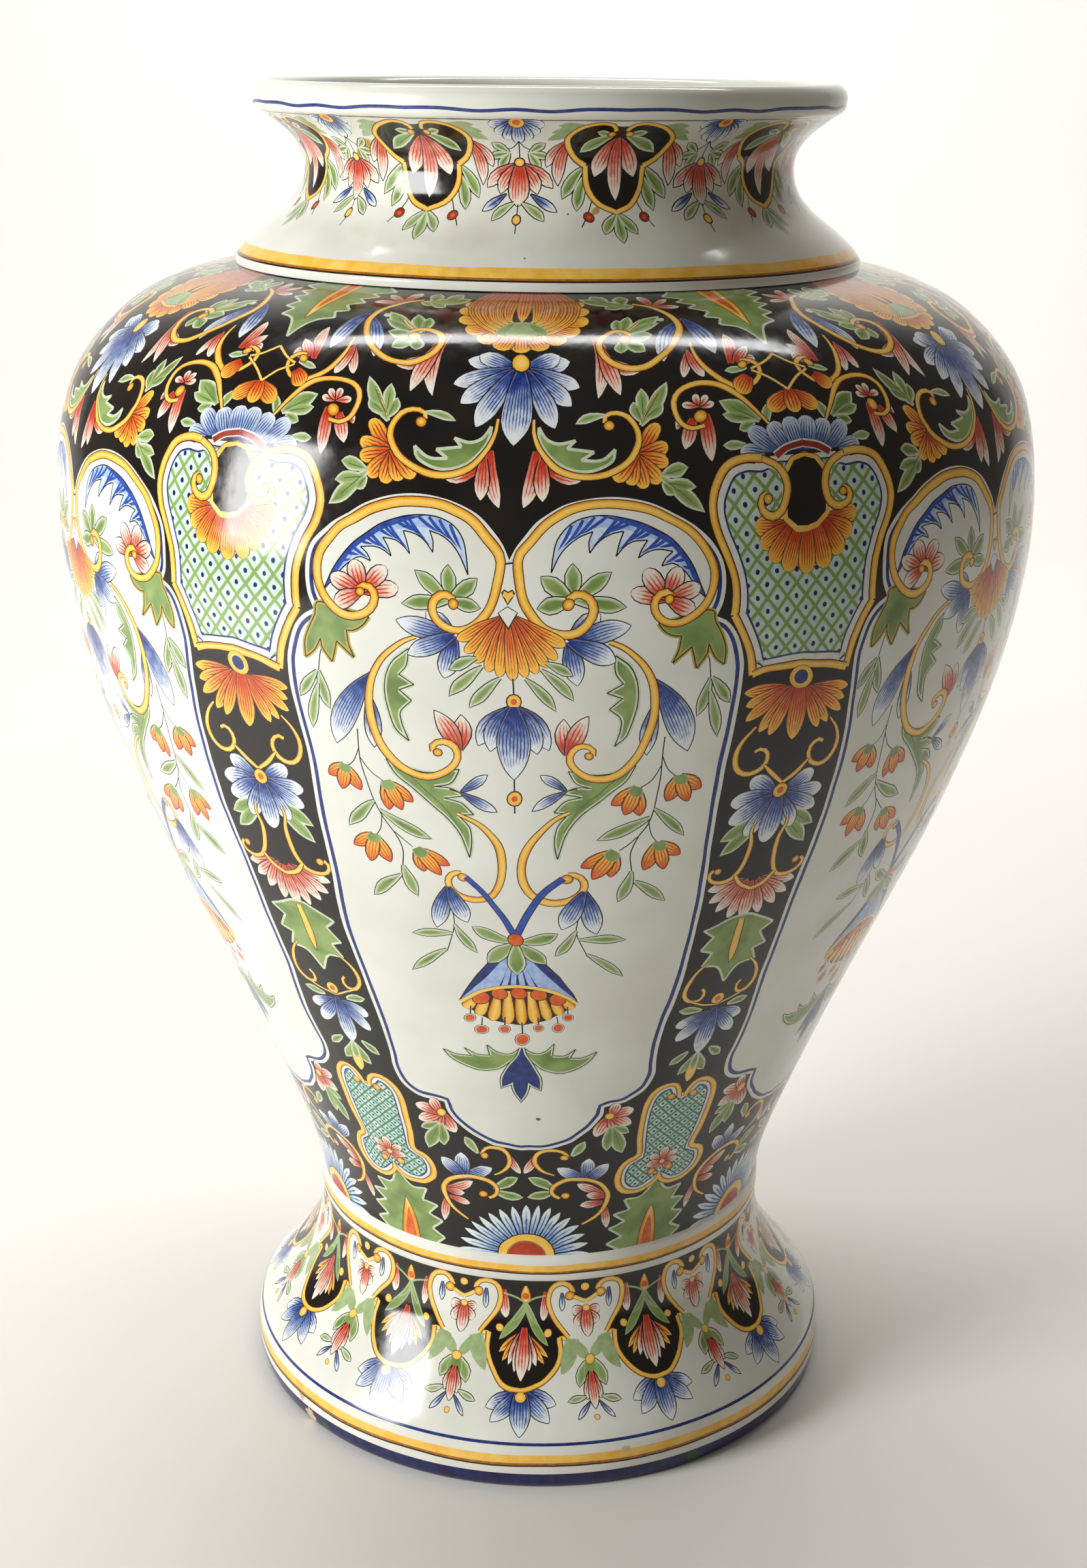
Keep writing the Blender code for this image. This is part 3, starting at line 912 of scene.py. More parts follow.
def lattice_paint(name, wide, tall, ground, bars):
    """A trellis of crossed green bars on turquoise with a dark blue dot in each opening."""
    material, tree, place = new_finish(name)
    along, up, _, _ = brush_marks(tree)
    shake = shaken(tree, place, 3.5)
    column = add(tree, "Math", {0: along, 1: wide}, operation="DIVIDE")
    column = add(tree, "Math", {0: shake, 1: 0.10, 2: column}, operation="MULTIPLY_ADD")
    row = add(tree, "Math", {0: up, 1: tall}, operation="DIVIDE")
    parts = []
    for operation in ("ADD", "SUBTRACT"):
        slant = add(tree, "Math", {0: column, 1: row}, operation=operation)
        cell = add(tree, "Math", {0: slant}, operation="FRACT")
        apart = add(tree, "Math", {0: cell, 1: 0.5}, operation="SUBTRACT")
        parts.append(add(tree, "Math", {0: apart}, operation="ABSOLUTE"))
    wet = add(tree, "MapRange", {0: shake, 1: -0.15, 2: 0.2})
    colour = add(tree, "Mix", {0: wet, 6: ground, 7: "#cfe3da"}, data_type="RGBA")
    nearest = add(tree, "Math", {0: parts[0], 1: parts[1]}, operation="MAXIMUM")
    bar = add(tree, "MapRange", {0: nearest, 1: 0.372, 2: 0.412})
    colour = add(tree, "Mix", {0: bar, 6: colour, 7: bars}, data_type="RGBA")
    square = add(tree, "Math", {0: parts[0], 1: parts[0]}, operation="MULTIPLY")
    square = add(tree, "Math", {0: parts[1], 1: parts[1], 2: square}, operation="MULTIPLY_ADD")
    middle = add(tree, "Math", {0: square}, operation="SQRT")
    dot = add(tree, "MapRange", {0: middle, 1: 0.170, 2: 0.125})
    colour = add(tree, "Mix", {0: dot, 6: colour, 7: NAVY}, data_type="RGBA")
    fire(tree, colour, place)
    return material


# petals: the drawing's name, the finish, then the colours of tip, wash, strokes and heart, how far the wash
# reaches, and the line round them. Orange ones glow from a red heart, blue and red ones fade to a pale tip
PETALS = (
    ("orange_petal", "orange_petal_brushwork", "#f9c04a", "#ee9236", "#a82c16", "#c5391a", 1,
     LINE_BROWN, 0.36),
    ("gold_petal", "yellow_petal_brushwork", "#f8c655", "#f0a43c", "#b03a1a", "#c4461c", 1.05,
     LINE_BROWN, 0.36),
    ("flower_petal", "big_flower_brushwork", "#f7bf4e", "#e8932e", "#a03012", "#b84516", 1.15,
     LINE_BROWN, 0.3),
    ("tulip", "tulip_brushwork", "#cf4a20", "#f3ab3c", "#c9561d", "#f6c04c", 1.15),
    ("blue_petal", "cobalt_petal_brushwork", "#e2e9ec", "#628bca", "#173182", "#0f226c", 0.88,
     LINE_BLACK, 0.48),
    ("blue_shell", "cobalt_shell_brushwork", "#d3e0ec", "#7d9fcc", "#1d2f74", "#22408c", 1.1,
     LINE_BLACK, 0.3),
    ("daisy_petal", "pale_cobalt_daisy_brushwork", "#dceaee", "#a5c9e2", "#2b4a94", "#4f7fc0", 0.8),
    ("red_petal", "iron_red_petal_brushwork", "#ece2d2", "#e3805e", "#b8301c", "#c2331a", 0.88,
     LINE_BLACK, 0.48),
)

# washes: the drawing's name, the finish, its two colours, the size of their patches in millimetres, and the
# flaws that cross it. They give the eye the flat, slightly uneven colour between the brushed petals
WASHES = (
    ("red_spot", "iron_red_spot", "#cc4a1d", "#e0702c"),
    ("oxide_red", "deep_iron_red", "#a8321a", "#bd4424"),
    ("maroon", "dark_iron_red", "#8d2a1c", "#a23824"),
    ("leaf_margin", "pale_leaf_margin", "#d3dcc2", "#bccaa8"),
    ("leaf_vein", "dark_leaf_vein", "#4c6330", "#5c7540"),
    ("pale_green", "thin_copper_green", "#a9bb8b", "#8fa771", 4.0),
    ("mustard", "yellow_over_green", "#c0a545", "#9fa04a"),
    ("navy_line", "cobalt_dark_line", "#1c2a66", "#2e4282"),
    ("blue_band", "cobalt_band", "#2a4396", "#3a5ab0"),
    ("thin_blue", "thin_cobalt_wash", "#d3e1ea", "#a8c5e4", 4.0),
    ("pale_cobalt", "pale_cobalt_wash", "#8fade0", "#b4c9e8", 2.5),
    ("base_band", "mottled_cobalt_band", "#0e0b3a", "#1d2260", 5.0, FOOT_FLAWS),
    ("yellow_band", "antimony_yellow_band", YELLOW, YELLOW_PALE, 7.0, FOOT_FLAWS),
    ("amber_edge", "amber_band_edge", "#b9761f", "#8f5a1a"),
    ("black_line", "manganese_line", LINE_BLACK, "#2c2424"),
    ("white_line", "reserved_white_line", WHITE_THICK, WHITE),
)


def make_paints():
    """Every paint on the vase by the name that the drawing uses."""
    flaws = NECK_FLAWS + FOOT_FLAWS
    paints = {
        "black_ground": plain_glaze("manganese_black_ground", BLACK, BLACK_WORN, 26.0),
        "white_ground": plain_glaze("white_tin_glaze_ground", WHITE, WHITE_THICK, 34.0, 0.014, flaws),
        "yellow_stroke": stroke_paint("antimony_yellow_scroll", YELLOW_PALE, YELLOW, "#d27a1c"),
        "yellow_spot": stroke_paint("antimony_yellow_spot", YELLOW_PALE, YELLOW_PALE, YELLOW, 0.22),
        "leaf_green": leaf_paint("copper_green_leaf", "#a9bb86", "#8ba35f", "#6a8446"),
        "lattice": lattice_paint("trellis_on_turquoise", 8.4, 9.7, "#bdd5cb", "#84a25c"),
        "small_lattice": lattice_paint("small_trellis_on_turquoise", 5.6, 5.9, "#9cc7bd", "#4f7d5a"),
    }
    paints |= {paint: petal_paint(*look) for paint, *look in PETALS}
    paints |= {paint: wash_paint(*look) for paint, *look in WASHES}
    return paints


def draw_shoulder_flower(d):
    """The big yellow flower that hangs from the collar over each panel, with its blue fan."""
    d.on(0)
    for step in range(9):
        angle = math.radians(-90 + 19.5 * step)
        tip = (24.5 * math.cos(angle), 575 + 24 * math.sin(angle))
        d.petal("orange_petal", (9 * math.cos(angle), 574 + 11 * math.sin(angle)), tip, 8.6, point=0.45,
                belly=0.72)
    for reach, low, side in ((19, 561, 12), (16.5, 563, 10.5), (13.8, 565, 8.8), (11, 567, 7),
                             (8.2, 568.5, 5.4), (5.2, 570, 3.5)):
        route = [(reach * 0.72, 594), (reach, 583), (reach * 0.92, 571)]
        d.petal("flower_petal", (reach * 0.35, 603), (side * 0.75, low), 5.2, via=route, belly=0.5,
                foot=0.6, point=0.6)
    d.petal("flower_petal", (0, 603), (0, 571), 6, belly=0.5, foot=0.6)
    d.disc("pale_green", (0, 565), 8.6, 0.66)
    d.petal("leaf_green", (3, 569.5), (9.3, 561.5), 4.5)
    for step in range(-1, 6):
        d.disc("yellow_spot", (1.75 * step, 559.2 + 0.035 * step * step), 1.05, 1.2, 8)
    d.petals("blue_petal", (1.5, 543), ((17.8, 546.4), (14, 548.9), (21.6, 535.2), (18.9, 527.5),
                                        (13.6, 518.7)), 8, belly=0.68, point=0.75)
    d.petal("blue_petal", (0, 543), (0, 512.2), 11, belly=0.66, point=0.8)
    d.disc("black_line", (0, 545.8), 3.6, 1.3)
    d.disc("yellow_spot", (0, 545.8), 3.3, 1.27)


def draw_shoulder_scrolls(d):
    """The scrollwork on the black ground, from the big flower out to the shield."""
    d.on(0)
    d.fan("red_petal", ((8, 510), (12.5, 503.5)), ((4.2, 490), (10.7, 492.6), (23.6, 500)), 6.2, bend=0.12,
          belly=0.55, foot=0.5, point=0.8)
    d.saw_leaf([(8.1, 518.7), (11.3, 514), (15.4, 512.6), (21.1, 514, 1), (18.4, 511, 1), (27.5, 509.8, 1),
                (23.3, 506.7, 1), (30.1, 506.9), (35.1, 510.7, 1), (34.2, 506.9), (30.1, 504),
                (24.8, 502.8), (18.4, 504), (12.5, 508.1), (8.7, 514)])
    d.petals("orange_petal", (43, 508.5), ((51.3, 519.6), (54.8, 511.6), (54.8, 505.8), (51.9, 499.3),
                                           (46, 497.3), (40.7, 498.5), (35.4, 499.9)), 6.4, point=0.42,
             belly=0.7, foot=0.4)
    d.leaf([((45, 519.5), (53.9, 536.7), 5.5, -0.1), ((45.5, 521), (42.5, 528.2), 5, 0.1),
            ((46, 522), (45.2, 534), 5), ((46.5, 522), (52.8, 527.5), 5, -0.1)])
    d.line([(45.4, 520.5), (48.5, 528), (51.5, 533)], 0.7, "yellow_spot")
    d.leaf([((52.5, 501), (68.4, 488.4), 5.5), ((53, 501.5), (62.5, 503.6), 5.5, 0.1),
            ((54, 499), (65.4, 497), 5.2), ((53, 499), (57.2, 494.6), 4.5)])
    d.scroll([(6, 521.6), (6.6, 516.4), (9.5, 509.9), (14.8, 504), (21.9, 501.1), (30.1, 501.3),
              (36.6, 504), (41.9, 508.7), (44, 514), (43.1, 518.7), (40.1, 522.8), (36, 524.4),
              (31.9, 523.4), (31.6, 520.8)], 2.5, ball=((33.1, 519.6), 2.2))
    d.leaf([((31.8, 523.4), (21.1, 520.4), 3.6, -0.15)])
    d.fan("red_petal", ((26.8, 559.5), (31.5, 547.5)), ((28.9, 530), (37.8, 531.6), (44.2, 542.2)), 6.6,
          bend=0.2, belly=0.5, foot=0.5, point=0.8)
    d.leaf([((37, 560), (49.5, 573.4), 6.5, -0.1), ((37, 560), (38.9, 572.2), 5.5),
            ((36, 561), (34.6, 570), 5), ((38, 560), (50.1, 568), 5.5), ((38, 558), (48.1, 560), 6),
            ((38, 557), (46, 551.6), 6), ((37, 557), (37.2, 551), 5.5)])
    d.line([(39, 562), (41.5, 565), (43.5, 568.3)], 1.2, "yellow_spot")
    d.petal("red_petal", (46.3, 583.4), (40.7, 593.6), 4.6, bend=-0.1)
    d.petal("red_petal", (47, 583), (57.2, 582.2), 4.4)
    d.petal("red_petal", (46.6, 583.4), (51.9, 590.4), 4.6)
    d.leaf([((39.5, 583.4), (20.7, 590.5), 7, 0.1), ((37, 584), (30.7, 580.3), 6),
            ((36, 585), (34.2, 594), 6), ((31, 586), (24.5, 594.5), 6), ((40, 584), (36, 581), 4)])
    d.petal("blue_petal", (58.6, 572), (71.9, 549), 7.5, bend=0.08, foot=0.2, belly=0.55, point=0.9)
    d.petal("blue_petal", (58.6, 572), (53.6, 546), 7.5, bend=-0.18, foot=0.2, belly=0.62, point=0.9)
    d.scroll([(39.5, 585.8), (44.8, 583.4), (50.1, 578.7), (54.8, 573.4), (57.8, 566.9), (58, 559.9),
              (56, 554), (52.5, 548.7), (47.2, 544.6), (41.3, 543.4), (35.4, 545.2), (30.7, 549.3),
              (28.7, 554.6), (29.5, 559.3), (33.1, 562.2), (37.2, 562.5), (40.1, 560.5)], 2.8,
             ball=((38.4, 557.9), 2.5))
    d.disc("leaf_margin", (50.8, 571), 1.4, steps=8)
    d.fan("red_petal", (61.3, 551.5), ((60.7, 538.7), (68, 538.5)), 4.8, bend=0.06)
    d.fan("red_petal", ((78, 543.6), (81, 545.8)), ((74.2, 560.5), (83.6, 552.2), (87.2, 545.2)), 6,
          bend=-0.12, foot=0.5, belly=0.45, point=0.8)
    d.leaf([((84.2, 541.5), (76.6, 540), 3.4)])
    d.scroll([(62.4, 555.5), (63.3, 552.4), (65.4, 546.9), (69.5, 541.1), (76, 535.8), (81.9, 533.4),
              (87.2, 534.6), (89.5, 538.7), (88.4, 542.8), (84.8, 545.2), (81.3, 545.4)], 2.2,
             ball=((82.4, 543.2), 2.1))
    d.fan("red_petal", ((60.2, 520), (69, 523)), ((58.3, 520.3), (61.9, 510.5), (71.9, 505.8)), 6.6,
          foot=0.55, belly=0.5, point=0.8)
    for angle in (10, 58, 105, 170):
        turn = math.radians(angle)
        d.petal("red_petal", (66.2, 526), (66.2 + 5.6 * math.cos(turn), 526.3 + 4.6 * math.sin(turn)), 3.8,
                point=0.45, belly=0.7)
    d.leaf([((90, 519.5), (74.5, 527.8), 6.5, -0.05), ((88, 520), (76, 522.6), 5),
            ((88, 519), (82.5, 516.8), 4.5)])
    d.leaf([((84.8, 510.8), (76.6, 511), 3.8)])
    d.leaf([((93, 518.5), (92.2, 525.2), 4.2)])
    d.scroll([(93.5, 518), (86.6, 525.2), (80.7, 530.5), (73.6, 534.6), (65.4, 535.5), (59.5, 533.4),
              (57.2, 529.3), (57.8, 524), (60.1, 519.9), (64.2, 517.8), (68.9, 518.7)], 2.3,
             ball=((67.2, 522.3), 2.7))


def draw_collar_leaf(d):
    """The saw-edged leaf that hangs from the collar over each shield, and the open lozenge below it."""
    d.on(30)
    d.saw_leaf([(2, 604), (-15.5, 604), (-16.5, 599), (-21.8, 593.8, 1), (-14.6, 590.6, 1), (-19.4, 587.2, 1),
                (-13.2, 584.2, 1), (-17.6, 580.8, 1), (-11.4, 577.6, 1), (-15.2, 573.2, 1), (-9.6, 571.8, 1),
                (-12.4, 567.2, 1), (-5.2, 564.4), (0, 553, 1), (2, 557)])
    d.petal("yellow_stroke", (0, 610), (0, 565.5), 10.5, foot=0.9, belly=0.1, point=0.9)
    d.petal("red_spot", (0, 612), (0, 573), 5.2, foot=0.9, belly=0.1, point=0.9)
    d.fan("orange_petal", ((-13.5, 537.8), (0, 530.2)), ((-19, 531.5), (-9.5, 523.6)), 7.6, foot=0.5,
          point=0.5, belly=0.62)
    d.petal("orange_petal", (0, 531.5), (0, 522.2), 7, foot=0.5, point=0.5)
    for row in ([(-11.5, 541), (-5.5, 543.8), (0, 547.9)], [(-11.5, 540.4), (-5.6, 536.6), (0, 531.4)]):
        d.line(row, 1.35, "yellow_spot")


def draw_shield(d):
    """The trellised shield between two panels, with its blue shell and black eye."""
    d.on(30)
    for tip in ((-24.3, 508.3), (-19.3, 516.4), (-11, 518), (-3.6, 519.7)):
        d.petal("blue_shell", (tip[0] * 0.35, 504.5), tip, 8, point=0.42, belly=0.76, foot=0.45)
    rim = [(-15, 507.4), (-17.3, 505.6), (-23.6, 506), (-31, 503.5), (-36.2, 496), (-38.3, 488.7),
           (-37, 480.5), (-33.2, 471.6), (-30.5, 463.2), (-30, 453.7), (-30.5, 449.7, 1), (-26.8, 443.2),
           (-23.2, 434.7), (-21, 425.3, 1), (-13.7, 427.4), (0, 428.9)]
    eye = [(0, 480.5), (-4, 481.2), (-8, 484.5), (-8.5, 492), (-8, 499), (-4.5, 504), (0, 505.3)]
    d.rings(rim, (("black_line", 0), ("white_line", 1.9), ("navy_line", 4.3), ("lattice", 5.1)), 1)
    d.scroll([(-10.5, 498), (-11, 501.5), (-15, 503.2), (-20, 503.4)], 2.2, "white_line")
    for tip in ((-21, 482.6), (-18.6, 475.4), (-14.5, 469.6), (-8, 465.6)):
        d.petal("orange_petal", (tip[0] * 0.42, 481.5), tip, 7.6, point=0.42, belly=0.74, foot=0.5)
    d.petal("orange_petal", (0, 480.5), (0, 464.2), 7.6, point=0.42, belly=0.74, foot=0.5)
    d.area("yellow_band", [(0.5, 478.6), (-4.6, 479.2), (-9.6, 483.6), (-10.4, 492), (-9.6, 500),
                           (-5.5, 505.6), (0.5, 507)], curved=False)
    d.area("black_ground", [(0.5, 480.5)] + eye[1:-1] + [(0.5, 505.3)], curved=False)
    d.line([(-9.9, 500.2), (-5.6, 505.3), (0, 506.6)], 0.3)
    d.line([(-11.5, 505.9), (-6.5, 508.8), (0, 510.2)], 3.4, "white_line")
    d.line([(-11.3, 505.9), (-6.5, 508.7), (0, 510.1)], 2.3, "maroon")
    for part in runs(rim[1:]):
        d.scroll(part, 3.1, start=1, end=1)
    d.scroll([(-17, 505.4), (-11.5, 502.6), (-8.3, 497.2), (-8.3, 491.9), (-10.9, 486.6), (-15.2, 485.4),
              (-18.8, 488.2), (-18.8, 491.4), (-16.4, 493)], 3.1, start=0.8, ball=((-16, 491.2), 2))


def draw_shield_drop(d):
    """The hanging ornaments below the shield, down to the lower shield."""
    d.on(30)
    for tip in ((-22.6, 417.6), (-21.3, 412.4), (-20.5, 407), (-14.7, 401.9), (-10.5, 400)):
        d.petal("orange_petal", (tip[0] * 0.2, 419), tip, 5.6, point=0.6, belly=0.66, foot=0.3)
    d.petal("orange_petal", (0, 419.5), (0, 396.6), 8.2, point=0.6, belly=0.6, foot=0.5)
    d.disc("yellow_spot", (0, 423.2), 5.4, 0.95, 16)
    d.disc("navy_line", (0, 423.2), 3.1)
    d.scroll([(-16.3, 403.7), (-20.5, 398.9), (-22.6, 392.6), (-21, 386.3), (-16.8, 383.2), (-12.1, 384.2),
              (-9.5, 387.9), (-10, 392.1), (-12.6, 394.2), (-15.3, 393.2)], 2.2)
    d.scroll([(-10.2, 386.5), (-5.5, 381.5), (0, 377)], 2)
    d.petals("blue_petal", (-1.5, 372), ((-13.5, 380.5), (-19.5, 371.3), (-18, 362.5)), 8.6, point=0.5,
             belly=0.66, foot=0.3)
    d.leaf([((-4, 364), (-19.8, 354), 6.5), ((-4, 362), (-18.4, 346.4), 6.5)])
    d.petal("blue_petal", (-1, 371), (-9.5, 355.5), 8, point=0.5, belly=0.66)
    d.petal("blue_petal", (0, 373), (0, 350.6), 9.5, point=0.5, belly=0.66)
    d.bead((0, 373.7), 3.3)
    d.petals("red_petal", (-2.5, 332), ((-20, 327.7), (-18, 321.3), (-13.5, 316.2)), 6.4, point=0.6,
             belly=0.62, foot=0.3)
    d.petal("red_petal", (-1.5, 331), (-7, 312), 6.4, point=0.6, belly=0.62, foot=0.3)
    d.petal("red_petal", (0, 331), (0, 309.9), 7.2, point=0.6, belly=0.6, foot=0.3)
    d.scroll([(-6.6, 361), (-7.4, 357.6), (-5.8, 350.8), (-6.3, 343.4), (-7.9, 337.1), (-11.1, 332.4),
              (-16.3, 331.3), (-20.5, 332.9), (-21.6, 336), (-20, 338.2)], 2.2, ball=((-18, 337.4), 1.9))
    d.scroll([(-9.5, 334.5), (-6, 329.5), (0, 326.6)], 2.2, start=0.7, end=0.9)
    d.saw_leaf([(2, 312), (-3, 312), (-8.5, 309.4), (-16.2, 305.2, 1), (-10.6, 300.8, 1), (-15.2, 293.6, 1),
                (-9.6, 291.2, 1), (-12.8, 284.2, 1), (-5.4, 282.6), (0, 273.2, 1), (2, 276)])
    d.petal("yellow_stroke", (0, 310), (0, 284), 4, foot=0.8, point=0.9)
    d.scroll([(-10, 285.5), (-14.7, 280.3), (-16.8, 273.9), (-16.3, 268.2), (-12.6, 264.5), (-8.9, 265),
              (-7.9, 268.7), (-9.5, 271.3)], 2)
    d.line([(-12.5, 264.4), (-7, 261.5), (0, 259.5)], 1.2, "yellow_spot")
    d.leaf([((-6, 258), (-16, 260), 4.5), ((-5, 233), (-12, 226.6), 4.5)])
    d.petals("blue_petal", (-1, 256), ((-14.7, 250.2), (-12.4, 241.4)), 7.6, point=0.5, belly=0.66)
    d.petal("blue_petal", (0, 258), (0, 231.3), 9, point=0.6, belly=0.62)
    d.bead((0, 263), 3.2)
    d.leaf([((0, 231), (-6.5, 219.5), 5.5, 0.12)])
    d.petal("yellow_spot", (0, 230), (0, 213.5), 5.5, point=0.7)
    d.leaf([((0, 231), (0, 221), 4.5)])


def draw_lower_shield(d):
    """The small trellised shield over the waist and the green leaf under it."""
    d.on(30)
    d.saw_leaf([(2, 104), (-9, 106), (-13.5, 110), (-19, 114.5, 1), (-12.4, 118.2, 1), (-19.2, 123.5, 1),
                (-12, 126.6, 1), (-18, 132, 1), (-10.4, 134, 1), (-14.2, 141.2, 1), (-6.6, 141),
                (0, 150.5, 1), (2, 148)])
    d.petal("yellow_stroke", (0, 105), (0, 133.5), 10, foot=0.9, belly=0.1, point=0.9)
    d.petal("red_spot", (0, 100), (0, 127), 6.5, foot=0.9, belly=0.1, point=0.9)
    outline = [(1, 205), (-2.5, 208), (-6, 212.5), (-11, 212), (-15, 208), (-16.5, 202), (-16, 190),
               (-15, 180), (-13.5, 168, 1), (-18.5, 165), (-20.5, 159), (-19, 151), (-14, 146), (-7, 145.5),
               (1, 151)]
    d.rings(outline, (("white_line", 0), ("navy_line", 3), ("small_lattice", 3.7)), 2)
    d.petals("red_petal", (0, 160.5), ((-6.5, 166.5), (-7.5, 161), (-5.5, 155.5)), 5, point=0.45, belly=0.7)
    d.petal("red_petal", (0, 161), (0, 170), 5.4, point=0.45, belly=0.7)
    d.disc("yellow_spot", (0, 160.8), 1.6)
    d.scroll([(-1.5, 203.5), (-2.5, 208), (-6, 212.5), (-11, 212), (-15, 208), (-16.5, 202), (-16, 190),
              (-15, 180), (-13.5, 168), (-18.5, 165), (-20.5, 159), (-19, 151), (-14, 146), (-7, 145.5),
              (-1.5, 149), (0.5, 154)], 3, start=0.8, ball=((-4.6, 156), 2.3))
    d.disc("yellow_stroke", (-5.6, 204.4), 2.2)


def draw_panel_ground(d):
    """The white panel on the black ground, with the dark blue line inside its edge."""
    d.on(0)
    edge = [(0, 472), (3.1, 478), (8.9, 485), (17, 490.5), (30, 493.8), (43, 493.1), (54.8, 489.3),
            (66.6, 482.2), (72.5, 476.4), (76, 470.5), (77.3, 462), (76.6, 455), (74.2, 449.6, 1),
            (78.4, 447.6), (82.5, 442.4), (85.5, 432), (85.8, 427), (84.2, 409), (82.5, 398), (80.7, 386),
            (78.9, 368), (76.6, 344), (72, 305), (66.5, 275), (60, 248), (57.6, 230), (57, 221),
            (52.5, 211), (45, 205.6), (34.4, 203.4, 1), (33.6, 198), (29, 191), (21, 183.5), (11, 178.2),
            (0, 176.5)]
    d.rings(edge, (("white_line", 0), ("navy_line", -1.6), ("white_ground", -3.2)), -2)


def draw_panel_head(d):
    """The yellow scroll over the panel, with the blue feathers, the flowers and the orange shell."""
    d.on(0)
    crest = [(14.8, 467, 1), (15, 472.5), (16.5, 479), (21, 484.6), (30, 487), (43, 485.2), (54.8, 479.2),
             (63, 470.4), (70, 456.6, 1)]
    barbs = [(66, 460.4), (63, 464.6), (59.8, 468), (56.6, 469.8), (52.6, 468.6, 1), (54, 471.6),
             (56.6, 473.7, 1), (51.4, 474.7), (47.8, 473.8), (44.6, 471.6, 1), (45.8, 475.1),
             (47.6, 478.2, 1), (42.7, 477.6), (39.7, 475.8), (37, 472.8, 1), (38, 477.2), (39.2, 481.2, 1),
             (35.8, 480.7), (32.3, 479.2), (29.8, 477), (27.8, 474, 1), (27.4, 478.2), (28.7, 481.6, 1),
             (24, 479.9), (20.2, 476.8), (17.2, 472.8), (14.8, 467, 1)]
    d.area("thin_blue", crest + barbs)
    under = [(60.4, 468), (56.6, 475.2), (47.6, 479.4), (38.2, 482.2), (28.4, 482.6), (20.4, 480.4)]
    d.area("pale_cobalt", crest[3:] + under + [(21, 484.6)])
    strokes = (((21, 484), (16.8, 475.2)), ((25, 485.6), (18.6, 476.4)), ((29, 486.4), (21.4, 479)),
               ((33, 486.4), (25, 481.2)), ((37, 486), (29, 476.8)), ((39.5, 485.6), (30.8, 479.2)),
               ((42.5, 485), (34, 481.2)), ((45.5, 484), (38, 475)), ((47.5, 483), (40.2, 477.2)),
               ((50, 481.8), (43.6, 478.6)), ((53, 480), (45.6, 473.4)), ((55, 478.6), (48.4, 475)),
               ((57.5, 476.4), (52, 475.6)), ((60, 473.8), (54, 470)), ((62, 471.2), (57.2, 470.6)),
               ((64.5, 467.6), (60.4, 468.6)))
    for start, tip in strokes:
        d.petal("blue_band", start, tip, 1.25, bend=0.08, belly=0.3, foot=0.9, point=0.9)
    d.area("blue_band", crest[4:] + [(66, 461.2), (60.2, 471.2), (52.4, 478.4), (42.4, 483.2), (30, 487)])
    for part in runs(crest + barbs):
        d.line(part, 0.5)
    d.saw_leaf([(52.5, 447.6), (54.8, 444.7), (58.4, 442.6), (61.3, 442.4, 1), (60.7, 437),
                (58.7, 432.4, 1), (63.6, 436.5), (65.4, 438.2, 1), (67.5, 429.8, 1), (71.3, 435.3),
                (71.9, 438.8, 1), (74.6, 433.5), (78, 430.8, 1), (78.4, 436.5), (76.6, 442.4),
                (73.6, 448.2), (73, 451.8)], margin="mustard", edge="black_line")
    for tip in ((22.2, 470), (35.2, 466.8), (40.5, 454), (11.6, 465.6), (10.7, 455)):
        d.leaf([((22.6, 457), tip, 6.4)], ground="white")
    d.petals("red_petal", (55.2, 456.6), ((42.5, 459.4), (47.2, 467), (58.9, 468), (66.8, 461.4),
                                          (65.2, 452)), 7.2, point=0.55, belly=0.66)
    d.petals("blue_petal", (21.3, 443), ((31.3, 451.6), (42.2, 447.3), (24.2, 426.5), (37.8, 435)), 8.2,
             point=0.85, belly=0.6, foot=0.4)
    d.scroll([(21.5, 455.5), (21.9, 458.5), (25.4, 459.1), (28.4, 457.1), (29.5, 452.9), (27.8, 448.8),
              (23.6, 445.9), (18.4, 445.6), (12.5, 448.2), (8.4, 452.9), (5.2, 458.8), (3.6, 465.9),
              (3.3, 472.9), (7.8, 479.3), (14.8, 486.4), (24.2, 490.5), (34.8, 491.4), (45.4, 490),
              (54.8, 486.4), (64.2, 480.5), (68.9, 474.7), (72.2, 468.2), (72.5, 461.2), (69.5, 454.1),
              (64.2, 449.2), (58.4, 447.6), (53.1, 449.4), (50.5, 453.5), (51.3, 457.6), (54.2, 459.4),
              (56.6, 457.6)], 3.3, start=0.9, end=0.85, ball=((56, 456.6), 1.9))
    d.disc("yellow_stroke", (21.2, 455.8), 2.2)
    for paint, wide, low, high in (("black_line", 2.5, 456.2, 462), ("yellow_band", 2.1, 456.8, 461.5)):
        d.area(paint, [(0, high - 0.9, 1), (wide * 0.6, high), (wide, high - 1.6), (wide * 0.5, low + 2),
                       (0, low, 1), (-wide * 0.5, low + 2), (-wide, high - 1.6), (-wide * 0.6, high),
                       (0, high - 0.9, 1)])
    shell = ((19.5, 441.8), (16.6, 437), (13, 433.5), (8.9, 430.6), (4.8, 429))
    for tip in shell:
        d.petal("orange_petal", (tip[0] * 0.12, 452.5), tip, 5, point=0.5, belly=0.8, foot=0.25)
    d.petal("orange_petal", (0, 452.5), (0, 427.6), 5.2, point=0.5, belly=0.8, foot=0.25)
    d.area("black_line", [(0, 456), (4, 453.6), (0, 447.2), (-4, 453.6)], curved=False)
    d.area("white_ground", [(0, 455.6), (3.5, 453.6), (0, 448.2), (-3.5, 453.6)], curved=False)
    d.sprig((((12.5, 435), (22.5, 430)), ((10.7, 432), (22.5, 419.6)), ((4.5, 428), (15.4, 415.3))), 5,
            0.08)


